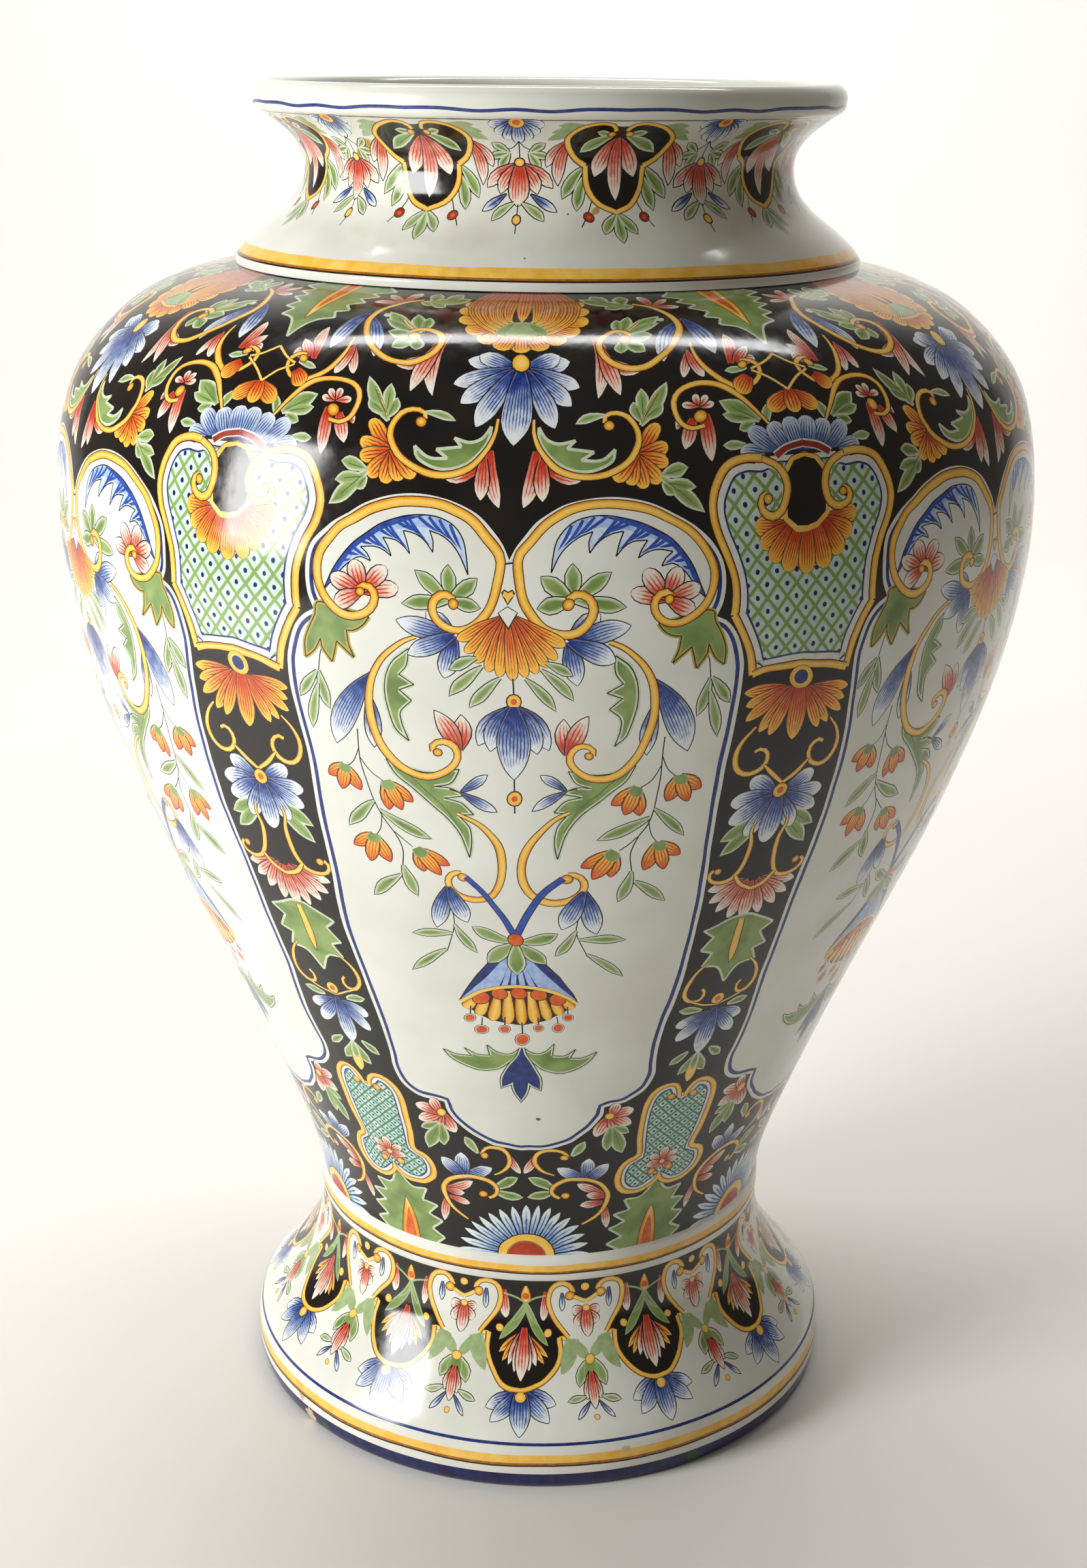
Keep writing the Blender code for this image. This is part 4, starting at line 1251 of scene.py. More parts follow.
def draw_panel_centre(d):
    """The string of beads, bell, star and umbrella down the middle of the panel."""
    d.on(0)
    d.line([(0, 428), (0, 370.4)], 0.6)
    d.bead((0, 418.5), 2.7, 1.1)
    d.petals("blue_petal", (1.5, 416), ((12.8, 399.2), (8.5, 397)), 8.6, bend=0.12, point=0.9, belly=0.55,
             foot=0.3)
    d.petal("blue_petal", (0, 416.5), (0, 385.3), 13, point=0.9, belly=0.52, foot=0.3)
    d.bead((0, 377), 2.8, 1.15)
    dome = [(24, 269.6), (21.5, 276), (16.5, 285.5), (10, 294.5), (0, 301)]
    rim = [(x + 0.5, s + 0.3) for x, s in dome[-2::-1]]
    d.area("black_line", [(-2, 301.4), (0, 301.4)] + rim + [(-2, 262)], curved=False)
    d.area("navy_line", [(-2, 300.6)] + dome[::-1] + [(-2, 266)], curved=False)
    for index in range(6):
        share = index / 5.5
        tip = (22.6 * (1 - share), 271.0 + 8.6 * math.sin(min(1, share) * math.pi / 2))
        d.petal("pale_cobalt", (4.5 * (1 - share), 296.5), tip, 2.3, bend=-0.06 * (1 - share), point=0.3,
                belly=0.9, foot=0.2)
    fringe = [(0, 256.2), (6, 257.6), (11.3, 259.4), (15.5, 262), (18.8, 264.8), (24, 269.8), (17, 275.5),
              (9, 278.7), (0, 279.8)]
    d.area("black_line", fringe, curved=False)
    for share, low in ((0.86, 266.5), (0.66, 262.5), (0.44, 259.6), (0.22, 257.8)):
        d.petal("yellow_stroke", (20.5 * share, 278 - 7 * share), (25 * share, low), 5.4, point=0.45,
                belly=0.75, foot=0.5)
    d.petal("yellow_stroke", (0, 277), (0, 257), 5.4, point=0.45, belly=0.75, foot=0.5)
    for centre in ((15.6, 272), (8.1, 274.6), (0, 275.3)):
        d.disc("black_line", centre, 3.7)
        d.disc("red_spot", centre, 3.3)
    d.line([(23.8, 269.4), (17, 274.8), (9, 278.2), (0, 279.4)], 2.2, "yellow_spot")
    d.leaf([((1, 304), (11.7, 293), 7.5)], ground="white")
    d.leaf([((1, 305), (16.5, 311.5), 6.6, -0.12)], ground="white")
    d.leaf([((0, 304), (0, 286.5), 8)], ground="white")
    d.disc("black_line", (0, 306.4), 3.2, 1.2)
    d.disc("red_spot", (0, 306.4), 2.8, 1.2)
    for centre, radius in (((15.5, 254), 2.6), ((20, 260.6), 2.2), ((6.8, 254.2), 2.2)):
        d.line([(centre[0] * 0.98, centre[1] + 7), centre], 0.5)
        d.bead(centre, radius, rim="white_line", core=0.86)
    d.line([(0, 258), (0, 247)], 0.6)
    d.bead((0, 248), 2.8, 1.25, rim="white_line", core=0.9)
    d.saw_leaf([(0.8, 242.8), (4.8, 239.4), (9.3, 239.9), (13.8, 244.4, 1), (13, 237.6, 1), (17.8, 237.2),
                (23.1, 240.9, 1), (20.6, 235.8, 1), (26.3, 235.8), (32.2, 238.5, 1), (29.1, 233.6),
                (24, 229.4), (17.2, 227), (10.4, 228.5), (4.8, 233.6), (0.8, 240)], edge="black_line")
    d.leaf([((0.5, 240), (8.6, 216.5), 8, -0.1), ((0, 243), (0, 208.5), 9)], ground="white",
           wash="navy_line")


def draw_panel_scrolls(d):
    """The long scroll, the loop and the sprays beside the middle of the panel."""
    d.on(0)
    d.petal("blue_petal", (52.5, 427), (66.2, 397), 11, bend=0.12, point=0.95, foot=0.1, belly=0.6)
    d.petal("blue_petal", (53.4, 418), (50.7, 397), 7, bend=-0.05, point=0.95, foot=0.3, belly=0.6)
    d.saw_leaf([(37.8, 437), (43.6, 432.4), (46.6, 425.9), (46.9, 418.8), (45.4, 411.8), (42.5, 404.7),
                (38, 400.6, 1), (40.5, 407.6), (40.9, 412.4), (36.6, 416.5, 1), (41.3, 420.6, 1),
                (35.6, 422.9, 1), (41.3, 426.5, 1), (38.4, 430.6)], edge="black_line")
    d.saw_leaf([(20.1, 389.4), (33, 388), (46.6, 392.4, 1), (43, 385.9), (36.6, 380), (30.1, 373.5),
                (23.6, 367), (19.5, 360), (16.6, 348.8, 1), (15.2, 356.5), (16, 363.5), (20.1, 369.4, 1),
                (14.6, 370, 1), (19, 375.2), (25.4, 377, 1), (17.8, 378.6, 1), (23.5, 381.6),
                (28.9, 381.8, 1), (23, 383.5), (20.9, 387)], edge="black_line")
    d.line([(40, 388), (32, 379.5), (24, 371), (18.6, 361)], 0.4, "leaf_vein")
    d.petals("red_petal", (19.8, 397), ((18.9, 411.8), (28.4, 412.9)), 7.4, point=0.95, bend=0.08,
             belly=0.5, foot=0.3)
    d.line([(20, 380), (23.5, 381)], 0.5)
    d.petals("blue_petal", (19.6, 380), ((10.1, 387), (6.6, 371.5)), 4.6, point=0.9, foot=0.2)
    d.scroll([(35.4, 441.8), (41.3, 438.8), (47.8, 432.9), (51.9, 425.9), (53.1, 418.8), (52.5, 410.6),
              (50.1, 402.4), (46, 394.7), (40.1, 388.8), (33.6, 386.1), (27.2, 387.1), (22.5, 390.6),
              (20.7, 395.3), (22.5, 399.4), (26.6, 400.9), (29.6, 399.2), (29.3, 396.6)], 3.1,
             ball=((27.9, 396.3), 1.8))
    d.scroll([(20.5, 370), (13.6, 365.9), (8.4, 360), (4.8, 352.9), (3.6, 345), (5, 336.3), (8.1, 330.6),
              (13.8, 327.3), (20, 327.8), (25, 331.3), (26.3, 336.3), (23.8, 340.3), (20.5, 340.8)], 3.1,
             ball=((20.2, 338.7), 2.4))
    for paint, width in (("black_line", 3), ("blue_band", 2.3)):
        d.line([(19, 339.2), (12, 332), (5.5, 321), (0, 308)], width, paint)
    d.petals("blue_petal", (26.5, 332.5), ((31.6, 310.6), (18.5, 314)), 8.2, point=0.9, foot=0.3)
    d.line([(24.4, 318), (24, 312), (28, 298)], 0.45)
    d.sprig((((24, 312.5), (15.6, 298)), ((25, 307.5), (42.5, 306)), ((28, 299), (42.3, 285.6))), 4.8, 0.06)
    d.line([(69.5, 440), (71.9, 434), (73, 426)], 0.45)
    d.sprig((((73, 426), (68.7, 411.4)), ((73.5, 426), (80.9, 415.3)), ((73.2, 421), (76.9, 402))), 5, 0.05)
    d.line([(57.4, 404), (56.9, 390.6), (55.4, 380), (53.6, 372), (50.7, 364), (46.6, 357.6), (43.8, 350),
            (44, 341)], 0.5)
    d.line([(57.2, 396), (59.5, 390), (62.8, 386.5)], 0.45)
    d.line([(57, 392), (53, 385.5), (48.5, 382.2)], 0.45)
    d.line([(51.2, 366), (52.2, 359), (54, 355.5)], 0.45)
    d.line([(46.5, 358), (42.5, 354), (39.5, 351.5)], 0.45)
    tulips = (((64.2, 386.6), ((58.9, 376.2), (66.6, 375.3), (71.9, 381))),
              ((47.2, 382), ((37.4, 374.2), (42.2, 369.6), (47.8, 369.2))),
              ((55, 354.8), ((49, 342), (57, 341.6), (63.5, 348.8))),
              ((37.6, 350.6), ((25.4, 344.4), (29.2, 338.6), (36, 339.5))))
    for cap, tips in tulips:
        d.petals("tulip", cap, (tips[0], tips[2], tips[1]), 6.6, point=0.75, foot=0.55, belly=0.5)
        middle = Vector(tips[1]) - Vector(cap)
        d.petal("leaf_green", Vector(cap) - middle * 0.06, Vector(cap) + middle * 0.26, 6.2, point=0.5,
                foot=0.7)
    d.sprig((((53.6, 372), (64.8, 358)), ((51.9, 368), (31.3, 357)), ((44, 341), (38.8, 326.3)),
             ((45, 336), (57.5, 324.6))), 5.6, 0.07)


def draw_under_panel(d):
    """The corner flowers, small scrolls and half daisy between the panel and the waist."""
    d.on(0)
    d.petals("blue_petal", (27, 156), ((14.6, 164.3), (28, 171.5), (37, 166.6)), 7.6, point=0.8, foot=0.5)
    d.petals("red_petal", (36.8, 197), ((30.5, 185.5), (40, 185.3), (46.2, 190.3), (47.4, 200)), 7.2,
             point=0.6, foot=0.4)
    d.petal("red_petal", (37, 197), (40.5, 204.5), 6, point=0.6, foot=0.4)
    d.disc("yellow_spot", (36.5, 197), 2.2)
    d.leaf([((37, 190), (35.5, 175.8), 6), ((38, 190), (45.4, 185), 5), ((38, 189), (43, 172.5), 7)])
    d.leaf([((20.5, 173), (26, 182.4), 4.6)])
    d.petal("red_petal", (6.4, 175), (1, 161.6), 4.8, bend=0.1, foot=0.3)
    d.scroll([(13, 160), (8, 163), (5.5, 168), (6, 173), (9, 176.5), (14, 177.2), (17.5, 175.5),
              (19, 172.6)], 2.2, ball=((17.3, 172), 2.1))
    d.leaf([((13, 150), (2.5, 158), 6, -0.1), ((13, 149), (1.5, 145.6), 5.5, 0.1)])
    d.petal("red_petal", (35.5, 146), (23, 154), 6, foot=0.5, point=0.8)
    d.petal("red_petal", (35.5, 145), (27.5, 146), 5.6, foot=0.5, point=0.8)
    d.petal("red_petal", (34.5, 141), (25, 139.6), 5.4, foot=0.5, point=0.8)
    d.petal("red_petal", (35.5, 141), (36.5, 124.5), 5, foot=0.3, point=0.8)
    d.scroll([(25.5, 128), (32, 133), (36, 140), (37, 147), (34, 153), (28, 156.5), (21, 157.2), (15, 155),
              (12, 151), (12.5, 147), (15.5, 144.6)], 2.5, ball=((18, 146.6), 2.3))
    for step in range(9):
        angle = math.radians(1 + 11.1 * step)
        tip = (29.5 * math.cos(angle), 110 + 30.5 * math.sin(angle))
        d.petal("daisy_petal", (9 * math.cos(angle), 110 + 9 * math.sin(angle)), tip, 4.3, point=0.9,
                belly=0.66, foot=0.22)
    d.disc("black_line", (0, 110), 13.6, steps=24)
    d.disc("yellow_band", (0, 110), 13, steps=24)
    d.disc("amber_edge", (0, 110), 9.3, steps=24)
    d.disc("oxide_red", (0, 110), 8.5, steps=24)


def draw_body():
    """Half of one of the body's six repeats, from the waist to the collar."""
    d = Drawing(FOOT_TOP, BODY_TOP, 180 / BODY_REPEATS)
    d.on(0).area("black_ground", [(-20, FOOT_TOP - 5), (150, FOOT_TOP - 5), (150, BODY_TOP + 5),
                                  (-20, BODY_TOP + 5)], curved=False)
    draw_shoulder_scrolls(d)
    draw_shoulder_flower(d)
    draw_collar_leaf(d)
    draw_shield(d)
    draw_shield_drop(d)
    draw_lower_shield(d)
    draw_panel_ground(d)
    draw_panel_scrolls(d)
    draw_panel_head(d)
    draw_panel_centre(d)
    draw_under_panel(d)
    return d.cut(BODY_GRID)


def draw_neck():
    """Half of one of the neck's nine repeats, from the collar to the lip."""
    d = Drawing(BODY_TOP, PAINT_TOP, 180 / NECK_REPEATS)
    wide = 60
    d.on(0).area("white_ground", [(-20, BODY_TOP - 3), (wide, BODY_TOP - 3), (wide, PAINT_TOP + 3),
                                  (-20, PAINT_TOP + 3)], curved=False)
    for low, high, paint in ((BODY_TOP - 3, 599.2, "black_ground"), (603.4, 604.6, "amber_edge"),
                             (604.4, 609.2, "yellow_band"), (602.7, 603.5, "black_line")):
        d.area(paint, [(-20, low), (wide, low), (wide, high), (-20, high)], curved=False)
    d.line([(-20, 685.3), (0, 685.6), (14, 684.9), (28, 685.8), (wide, 685.2)], 1.3, "navy_line", 3)
    d.line([(-20, 680.4), (0, 680.2), (20, 680.5), (wide, 680.2)], 0.6, "black_line", 3)
    d.petals("blue_petal", (1, 679.5), ((10.3, 677.3), (7.6, 671.8), (3.9, 668.2)), 6.2, point=0.45,
             belly=0.72, foot=0.5)
    d.petal("blue_petal", (0, 679.5), (0, 666.4), 5.6, point=0.45, belly=0.72, foot=0.5)
    d.disc("yellow_spot", (0, 678.6), 3.3)
    d.disc("red_spot", (0, 678.8), 1.8)
    d.line([(0, 667), (0, 656)], 0.45)
    d.line([(0, 667), (1.8, 663.8), (4.5, 662.3)], 0.45)
    d.leaf([((3.4, 661), (10.6, 659.3), 4.2), ((3.4, 661), (9.6, 665.8), 4.2),
            ((3.4, 661), (6.8, 654.8), 4.2)], ground="white")
    d.petals("red_petal", (0.5, 656), ((11.4, 647.4), (6.2, 645.2)), 5.6, bend=0.14, point=0.9, foot=0.4)
    d.petal("red_petal", (0, 656), (0, 640.2), 7.6, point=0.9, foot=0.5)
    d.disc("black_line", (0, 657), 2.1)
    d.disc("yellow_spot", (0, 657), 1.8)
    d.petal("blue_petal", (4, 645), (13.8, 638), 4, point=0.9, foot=0.2)
    d.leaf([((1.2, 641.6), (9.8, 633.6), 4.4, 0.1)], ground="white")
    d.line([(0, 641), (0, 627)], 0.45)
    d.disc("black_line", (0, 634), 2, 1.35)
    d.disc("yellow_spot", (0, 634), 1.7, 1.35)
    draw_trefoil(d)
    return d.cut(EDGE_GRID)


def draw_trefoil(d):
    """The black trefoil framed in yellow that hangs under the lip."""
    d.on(20)
    d.petals("pale_green", (-15, 676), ((-27.6, 667.8), (-26.5, 672.5), (-25, 677)), 4.6, foot=0.5,
             point=0.9)
    d.petals("red_petal", (-19, 667.5), ((-26.9, 655.4), (-22.4, 648.4)), 5.6, bend=-0.14, foot=0.3,
             point=0.9)
    d.leaf([((-12, 655.5), (-20.8, 643.4), 5.6, -0.1), ((-11, 653), (-15.8, 638.6), 5.6, -0.08)],
           ground="white")
    d.line([(-9, 643), (-11.8, 637), (-15.2, 630.8)], 0.45)
    d.bead((-11.6, 635.6), 2, 1.1, rim="maroon", heart="red_spot")
    d.leaf([((0, 637.5), (-6.8, 627.2), 5.2, -0.1), ((0, 637.5), (0, 622.6), 5.6)], ground="white")
    frame_line = [(0, 637.8), (-6.7, 641.1), (-10.6, 647), (-11.9, 655.8), (-16.5, 659), (-20, 665),
                  (-20.6, 669.6), (-16, 675.7), (-9, 678.3), (-4, 677), (-2.2, 673.4)]
    d.area("black_ground", [(1, 638)] + frame_line[:-1] + [(1, 676)], curved=False)
    d.leaf([((-3, 670.5), (-14.5, 661.8), 5.6, -0.08), ((-3, 671), (-9.6, 672.6), 3.6)])
    d.petal("red_petal", (-0.6, 669), (-7.8, 651.8), 7.4, bend=-0.06, foot=0.25, point=0.9, belly=0.66)
    d.petal("red_petal", (0, 669.5), (0, 642.6), 6.6, foot=0.25, point=0.9, belly=0.6)
    d.scroll(frame_line[:4], 2.2, start=1, end=1)
    d.scroll(frame_line[3:], 2.2, start=1, end=0.9, ball=((-3.6, 671.4), 1.9))


def draw_foot():
    """Half of one of the foot's twelve repeats, from the ground to the waist."""
    d = Drawing(0.5, FOOT_TOP, 180 / FOOT_REPEATS)
    wide = 60
    bands = ((-3, FOOT_TOP + 3, "white_ground"), (-3, 9, "base_band"), (12.7, 13.6, "black_line"),
             (13.5, 14.8, "amber_edge"), (14.6, 18.6, "yellow_band"), (22.8, 24.2, "navy_line"),
             (101.6, 102.7, "amber_edge"), (102.5, 105.6, "yellow_band"), (101, 101.7, "black_line"))
    for low, high, paint in bands:
        d.on(0).area(paint, [(-20, low), (wide, low), (wide, high), (-20, high)], curved=False)
    ground = [(-2, 97.3), (wide, 97.3), (wide, 86), (34, 86), (22, 70), (22.8, 69.4), (16.2, 69.4),
              (16.7, 63.1), (14, 56), (9.4, 49.8), (0, 46.4), (-2, 46.4)]
    d.area("black_ground", ground, curved=False)
    draw_foot_pendant(d)
    draw_foot_heart(d)
    return d.cut(EDGE_GRID)


def draw_foot_pendant(d):
    """The black pendant with its flower, and the blue flower under it."""
    d.on(0)
    d.petals("blue_petal", (0.5, 45.4), ((14.9, 39.6), (12.6, 32.8)), 8, point=0.85, foot=0.6, belly=0.5)
    d.petal("blue_petal", (0, 45.8), (0, 26.8), 9.5, point=0.85, foot=0.6, belly=0.5)
    d.petal("red_petal", (9.6, 92), (8.6, 78.6), 5, foot=0.6)
    d.petal("yellow_stroke", (0, 94.5), (0, 86.2), 5.4, foot=0.3, point=0.6)
    d.disc("red_spot", (0, 89.6), 1.7)
    d.line([(10.5, 90.5), (4, 88.5), (0, 86)], 0.9, "leaf_green")
    d.petal("leaf_green", (0, 86), (11, 68), 4.2, bend=-0.12, point=0.9, foot=0.5)
    d.petal("leaf_green", (0, 86), (5.6, 77), 2.4, bend=-0.12, point=0.9)
    d.petals("gold_petal", (1, 72), ((10.9, 62.2), (9.4, 58.8)), 3.4, point=0.8, foot=0.4)
    d.petals("red_petal", (0.5, 74), ((6.4, 57.4), (3.4, 54.5)), 4.4, foot=0.4, point=0.8)
    d.petal("red_petal", (0, 74.5), (0, 50.6), 6.6, foot=0.5, point=0.8)
    d.disc("yellow_spot", (11, 73), 2)
    d.line([(23.5, 70.2), (16.2, 70.2)], 2.2, "yellow_spot")
    d.scroll([(16, 70.6), (16.7, 63.1), (14, 56), (9.4, 49.8), (4.7, 47.2), (0, 46.4)], 2.3, start=1, end=1)
    d.disc("yellow_spot", (0, 43.4), 2.5)


def draw_foot_heart(d):
    """The white heart framed in yellow between two pendants, and the bell flower below it."""
    d.on(15)
    volute = [(-8.5, 70.3), (-12, 75.3), (-16, 82), (-17, 88.7), (-15, 94.2), (-10.5, 95.9), (-6.8, 94.2),
              (-5.4, 91)]
    heart = [(1, 86), (-5, 90), (-6.8, 94)] + volute[5:1:-1] + [(-12, 75.3), (-8, 70), (-4, 62), (1, 60)]
    d.area("white_ground", heart, curved=False)
    d.petal("pale_green", (-7, 69.5), (-14, 54.5), 7, foot=0.8, point=0.9, belly=0.3, bend=0.1)
    d.petal("pale_green", (-7.5, 68.5), (-1, 60.5), 5, foot=0.7, point=0.9)
    d.petal("blue_petal", (-10.6, 91.5), (-10.5, 82.5), 3.2, point=0.8, foot=0.4)
    d.petals("red_petal", (0, 81.5), ((-5.6, 82.2), (-4.6, 76)), 5.4, point=0.45, foot=0.5, belly=0.7)
    d.petal("red_petal", (0, 83), (0, 70.2), 6, point=0.6, foot=0.5)
    d.disc("yellow_spot", (0, 83), 1.7)
    d.disc("yellow_spot", (0, 93.3), 2.1)
    d.leaf([((0, 60), (-6.3, 48.4), 6, -0.16)], ground="white")
    d.petal("leaf_green", (0, 60), (-1.5, 51), 5.5, foot=0.6)
    d.petals("red_petal", (0, 54.5), ((-3.4, 43.2), (0, 38.8)), 5.4, foot=0.5, point=0.8)
    d.leaf([((-3.5, 44.2), (-12.4, 41.2), 3.8)], ground="white")
    d.petal("blue_petal", (-2, 42), (-8.4, 33.8), 3, foot=0.3, point=0.8)
    d.disc("yellow_spot", (0, 34.6), 1.5)
    d.disc("yellow_spot", (0, 59.6), 2.3)
    d.scroll(volute, 2.4, start=0.8, end=1, ball=((-6.9, 89.6), 2.4))
    d.line([(-5, 89), (-2.5, 87.4), (0, 86.4)], 2, "yellow_spot")


def turn_glazed_body():
    """Throw the ware ring by ring from its closed outline, then close it at the two middles."""
    outline = underside_line() + outer_line() + inner_line()
    rings = outline[1:-1]
    bpy.ops.object.select_all(action="DESELECT")
    bpy.ops.mesh.primitive_circle_add(vertices=TURNED_SEGMENTS, radius=rings[0].x, fill_type="NOTHING",
                                      location=(0.0, 0.0, rings[0].y))
    body = bpy.context.object
    body.name = "glazed_body"
    bpy.ops.object.transform_apply(location=True, rotation=True, scale=True)
    bpy.ops.object.mode_set(mode="EDIT")
    bpy.ops.mesh.select_all(action="SELECT")
    for before, after in zip(rings, rings[1:]):
        bpy.ops.mesh.extrude_edges_move(TRANSFORM_OT_translate={"value": (0.0, 0.0, after.y - before.y)})
        size = after.x / before.x
        bpy.ops.transform.resize(value=(size, size, 1.0), center_override=(0.0, 0.0, after.y))
    bpy.ops.mesh.edge_face_add()
    bpy.ops.mesh.poke()
    bpy.ops.mesh.select_all(action="DESELECT")
    bpy.ops.mesh.select_non_manifold(extend=False, use_wire=False, use_multi_face=False,
                                     use_non_contiguous=False, use_verts=False)
    bpy.ops.mesh.edge_face_add()
    bpy.ops.mesh.poke()
    bpy.ops.mesh.select_all(action="SELECT")
    bpy.ops.mesh.normals_make_consistent(inside=False)
    bpy.ops.object.mode_set(mode="OBJECT")
    bpy.ops.object.shade_smooth_by_angle(angle=SMOOTH_ANGLE)
    return body


class VaseSettings(bpy.types.PropertyGroup):
    """What a user would change on the vase and its stage."""

    body_turn: bpy.props.FloatProperty(
        name="Body turn", description="How far the painted panels are turned from the front",
        default=math.radians(BODY_AXIS), subtype="ANGLE", unit="ROTATION")
    neck_turn: bpy.props.FloatProperty(
        name="Neck turn", description="How far the neck's ornament is turned from the front",
        default=math.radians(NECK_AXIS), subtype="ANGLE", unit="ROTATION")
    foot_turn: bpy.props.FloatProperty(
        name="Foot turn", description="How far the foot's ornament is turned from the front",
        default=math.radians(FOOT_AXIS), subtype="ANGLE", unit="ROTATION")
    floor_colour: bpy.props.FloatVectorProperty(
        name="Floor colour", description="Colour of the plain floor and sweep", size=4, subtype="COLOR",
        min=0.0, max=1.0, default=to_linear("#e9e7e3"))
    key_power: bpy.props.FloatProperty(
        name="Window light", description="Power of the soft window light", default=32.0, unit="POWER")
    back_power: bpy.props.FloatProperty(
        name="Backdrop light", description="Power of the light on the sweep behind", default=85.0,
        unit="POWER")
    room_light: bpy.props.FloatProperty(
        name="Room light", description="Strength of the warm dim light from all sides", default=0.16, min=0.0)


class FAIENCE_OT_glazed_body(bpy.types.Operator):
    """Turn the hollow ware and dip it in white tin glaze"""

    bl_idname = "faience.glazed_body"
    bl_label = "Glazed Body"

    def execute(self, context):
        body = turn_glazed_body()
        body.data.materials.clear()
        body.data.materials.append(plain_glaze("white_tin_glaze", WHITE, WHITE_THICK, 34.0, 0.014))
        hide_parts("vase")
        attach(body, "root")
        return {"FINISHED"}


class FAIENCE_OT_painting(bpy.types.Operator):
    """Paint the body's panels, the neck and the foot"""

    bl_idname = "faience.painting"
    bl_label = "Painting"

    def execute(self, context):
        settings = context.scene.faience_vase
        paints = make_paints()
        zones = (("painted_body", draw_body(), settings.body_turn, BODY_REPEATS, 1),
                 ("painted_neck", draw_neck(), settings.neck_turn, NECK_REPEATS, 3),
                 ("painted_foot", draw_foot(), settings.foot_turn, FOOT_REPEATS, 3))
        for name, flat, turn, repeats, together in zones:
            step = 360 / repeats
            for group in range(repeats // together):
                first = math.degrees(turn) + group * together * step
                lay_paint(f"{name}_{group + 1}", flat, first, step, together, paints)
        return {"FINISHED"}


class FAIENCE_OT_stage(bpy.types.Operator):
    """Set up the pale floor, the soft lights and the camera"""

    bl_idname = "faience.stage"
    bl_label = "Stage"

    def execute(self, context):
        settings = context.scene.faience_vase
        build_floor(settings.floor_colour)
        build_lights(settings.key_power, settings.back_power, settings.room_light)
        build_camera()
        return {"FINISHED"}


class FAIENCE_PT_panel(bpy.types.Panel):
    """The vase's operators and settings"""

    bl_label = "Faience Vase"
    bl_idname = "FAIENCE_PT_panel"
    bl_space_type = "VIEW_3D"
    bl_region_type = "UI"
    bl_category = "Faience"

    def draw(self, context):
        for step in STEPS:
            self.layout.operator(step.bl_idname)
        for name in VaseSettings.__annotations__:
            self.layout.prop(context.scene.faience_vase, name)


def build_floor(colour):
    """A plain pale floor that sweeps up behind the vase."""
    bpy.ops.object.select_all(action="DESELECT")
    bpy.ops.mesh.primitive_plane_add(size=FLOOR_SIZE, location=(0.0, 0.0, 0.0))
    floor = bpy.context.object
    floor.name = "floor"
    bpy.ops.object.mode_set(mode="EDIT")
    bpy.ops.mesh.select_all(action="DESELECT")
    bpy.ops.object.mode_set(mode="OBJECT")
    back = FLOOR_SIZE / 2 - 0.1
    for edge in floor.data.edges:
        edge.select = all(floor.data.vertices[corner].co.y > back for corner in edge.vertices)
    bpy.ops.object.mode_set(mode="EDIT")
    bpy.ops.mesh.extrude_edges_move(TRANSFORM_OT_translate={"value": (0.0, 0.0, SWEEP_HEIGHT)})
    bpy.ops.mesh.select_all(action="DESELECT")
    bpy.ops.object.mode_set(mode="OBJECT")
    for edge in floor.data.edges:
        places = [floor.data.vertices[corner].co for corner in edge.vertices]
        edge.select = all(place.y > back and place.z < 0.1 for place in places)
    bpy.ops.object.mode_set(mode="EDIT")
    bpy.ops.mesh.bevel(offset=SWEEP_RADIUS, segments=16, affect="EDGES")
    bpy.ops.object.mode_set(mode="OBJECT")
    bpy.ops.object.shade_smooth()
    material = bpy.data.materials.new("pale_matt_floor")
    material.use_nodes = True
    tree = material.node_tree
    tree.nodes.clear()
    cloud = add(tree, "TexNoise", {"Vector": add(tree, "TexCoord").outputs["Object"], "Scale": 3.0,
                                   "Detail": 2.0})
    share = add(tree, "MapRange", {0: cloud, 1: 0.3, 2: 0.7, 3: 0.0, 4: 0.06})
    shade = add(tree, "Mix", {0: share, 6: tuple(colour), 7: "#bdb9b1"}, data_type="RGBA")
    shader = add(tree, "BsdfPrincipled", {"Base Color": shade, "Roughness": 0.6})
    add(tree, "OutputMaterial", {"Surface": shader})
    floor.data.materials.append(material)


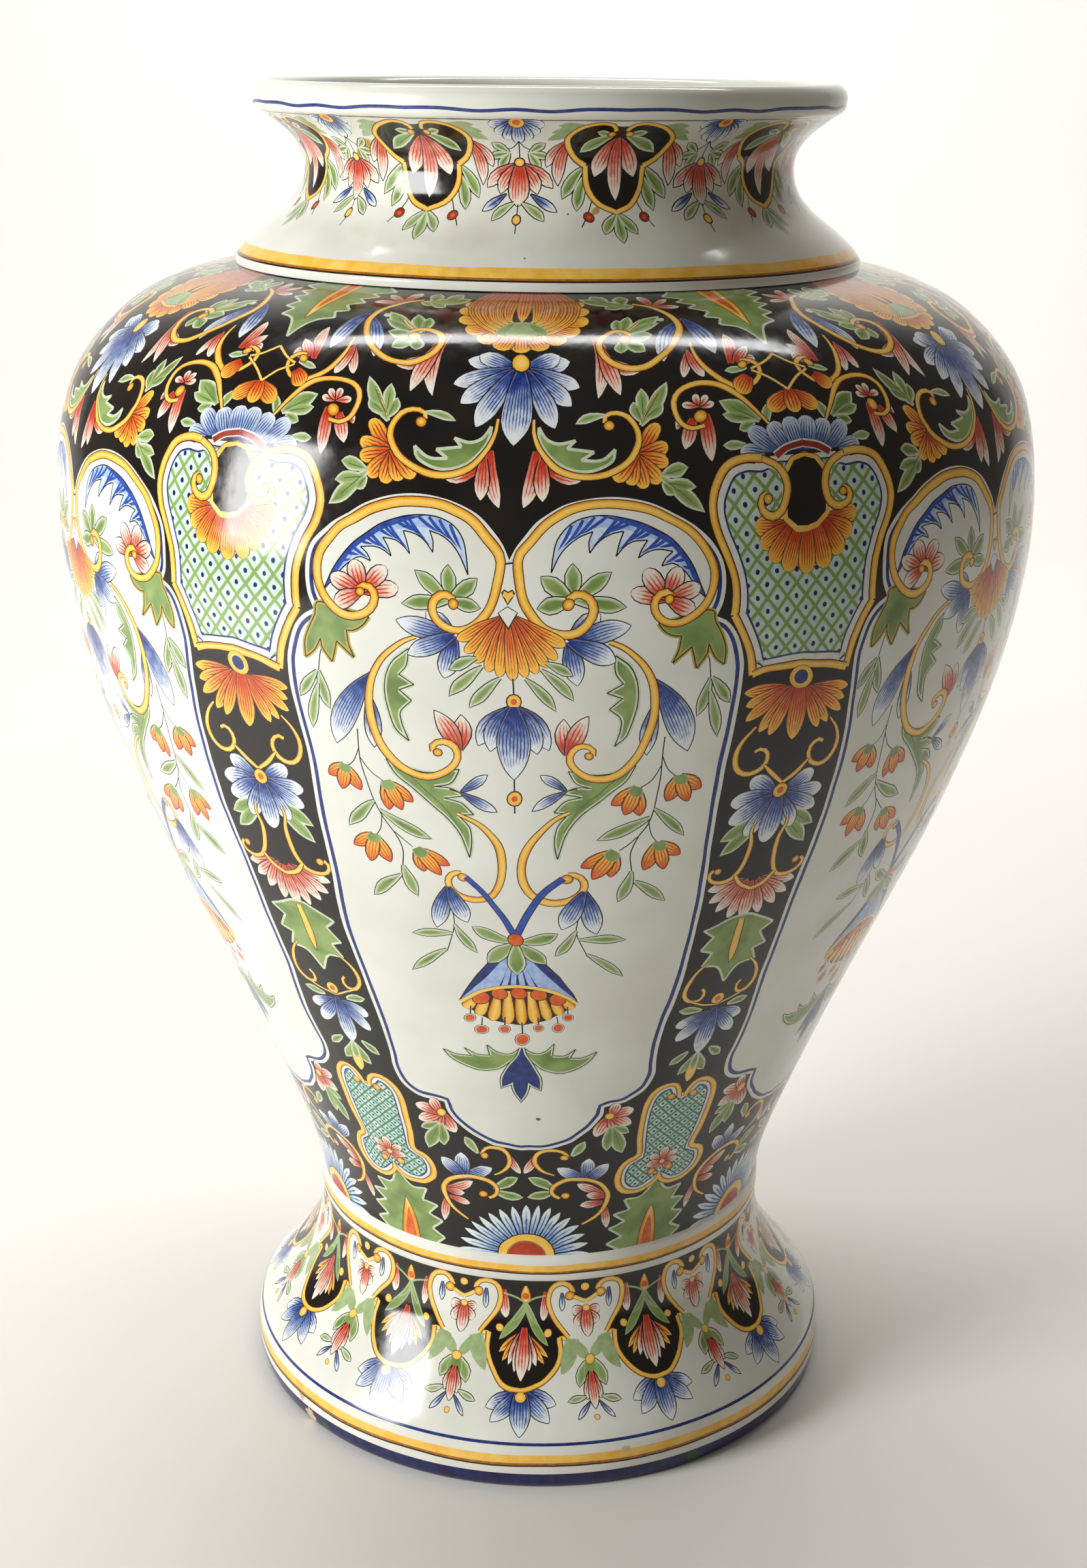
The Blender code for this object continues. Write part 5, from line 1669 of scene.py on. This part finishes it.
def build_lights(key_power, back_power, room):
    """A window at the upper left, a warm dim room and a light on the sweep behind the vase."""
    bpy.context.scene.view_settings.view_transform = "Standard"
    world = bpy.data.worlds.new("pale_room")
    bpy.context.scene.world = world
    world.use_nodes = True
    world.node_tree.nodes["Background"].inputs[0].default_value = to_linear(ROOM_COLOUR)
    world.node_tree.nodes["Background"].inputs[1].default_value = room
    for name, power, size, spot, aim in (
            ("window_light", key_power, (0.6, 1.0), (-1.45, -0.8, 0.75), (0.0, 0.0, 0.35)),
            ("backdrop_light", back_power, (2.4, 1.0), (0.0, 0.9, 2.6), (0.0, 3.0, 0.4))):
        bpy.ops.object.light_add(type="AREA", location=spot)
        lamp = bpy.context.object
        lamp.name = name
        lamp.data.shape = "RECTANGLE"
        lamp.data.size, lamp.data.size_y = size
        lamp.data.energy = power
        lamp.rotation_euler = (Vector(aim) - Vector(spot)).to_track_quat("-Z", "Y").to_euler()


def build_camera():
    """The camera at the photograph's place, worked out from the vase's rings and repeats."""
    forward = Vector((math.sin(YAW) * math.cos(PITCH), math.cos(YAW) * math.cos(PITCH), -math.sin(PITCH)))
    level = Vector((math.cos(YAW), -math.sin(YAW), 0.0))
    upright = level.cross(forward)
    right = level * math.cos(ROLL) + upright * math.sin(ROLL)
    up = upright * math.cos(ROLL) - level * math.sin(ROLL)
    bpy.ops.object.camera_add()
    camera = bpy.context.object
    camera.name = "photo_camera"
    turn = Matrix((right, up, -forward)).transposed().to_4x4()
    camera.matrix_world = Matrix.Translation(CAMERA_PLACE) @ turn
    camera.data.sensor_fit = "VERTICAL"
    camera.data.sensor_height = SENSOR_HEIGHT
    camera.data.lens = SENSOR_HEIGHT * FOCAL_PIXELS / PHOTO_HEIGHT
    bpy.context.scene.camera = camera


STEPS = (FAIENCE_OT_glazed_body, FAIENCE_OT_painting, FAIENCE_OT_stage)


def register():
    """Register the settings, the operators and the panel."""
    for part in (VaseSettings,) + STEPS + (FAIENCE_PT_panel,):
        bpy.utils.register_class(part)
    bpy.types.Scene.faience_vase = bpy.props.PointerProperty(type=VaseSettings)


def unregister():
    """Take the classes out again, in the opposite order."""
    del bpy.types.Scene.faience_vase
    for part in (FAIENCE_PT_panel,) + STEPS[::-1] + (VaseSettings,):
        bpy.utils.unregister_class(part)


def main():
    """Make the vase and its stage."""
    register()
    bpy.ops.faience.glazed_body()
    bpy.ops.faience.painting()
    bpy.ops.faience.stage()


if __name__ == "__main__":
    main()
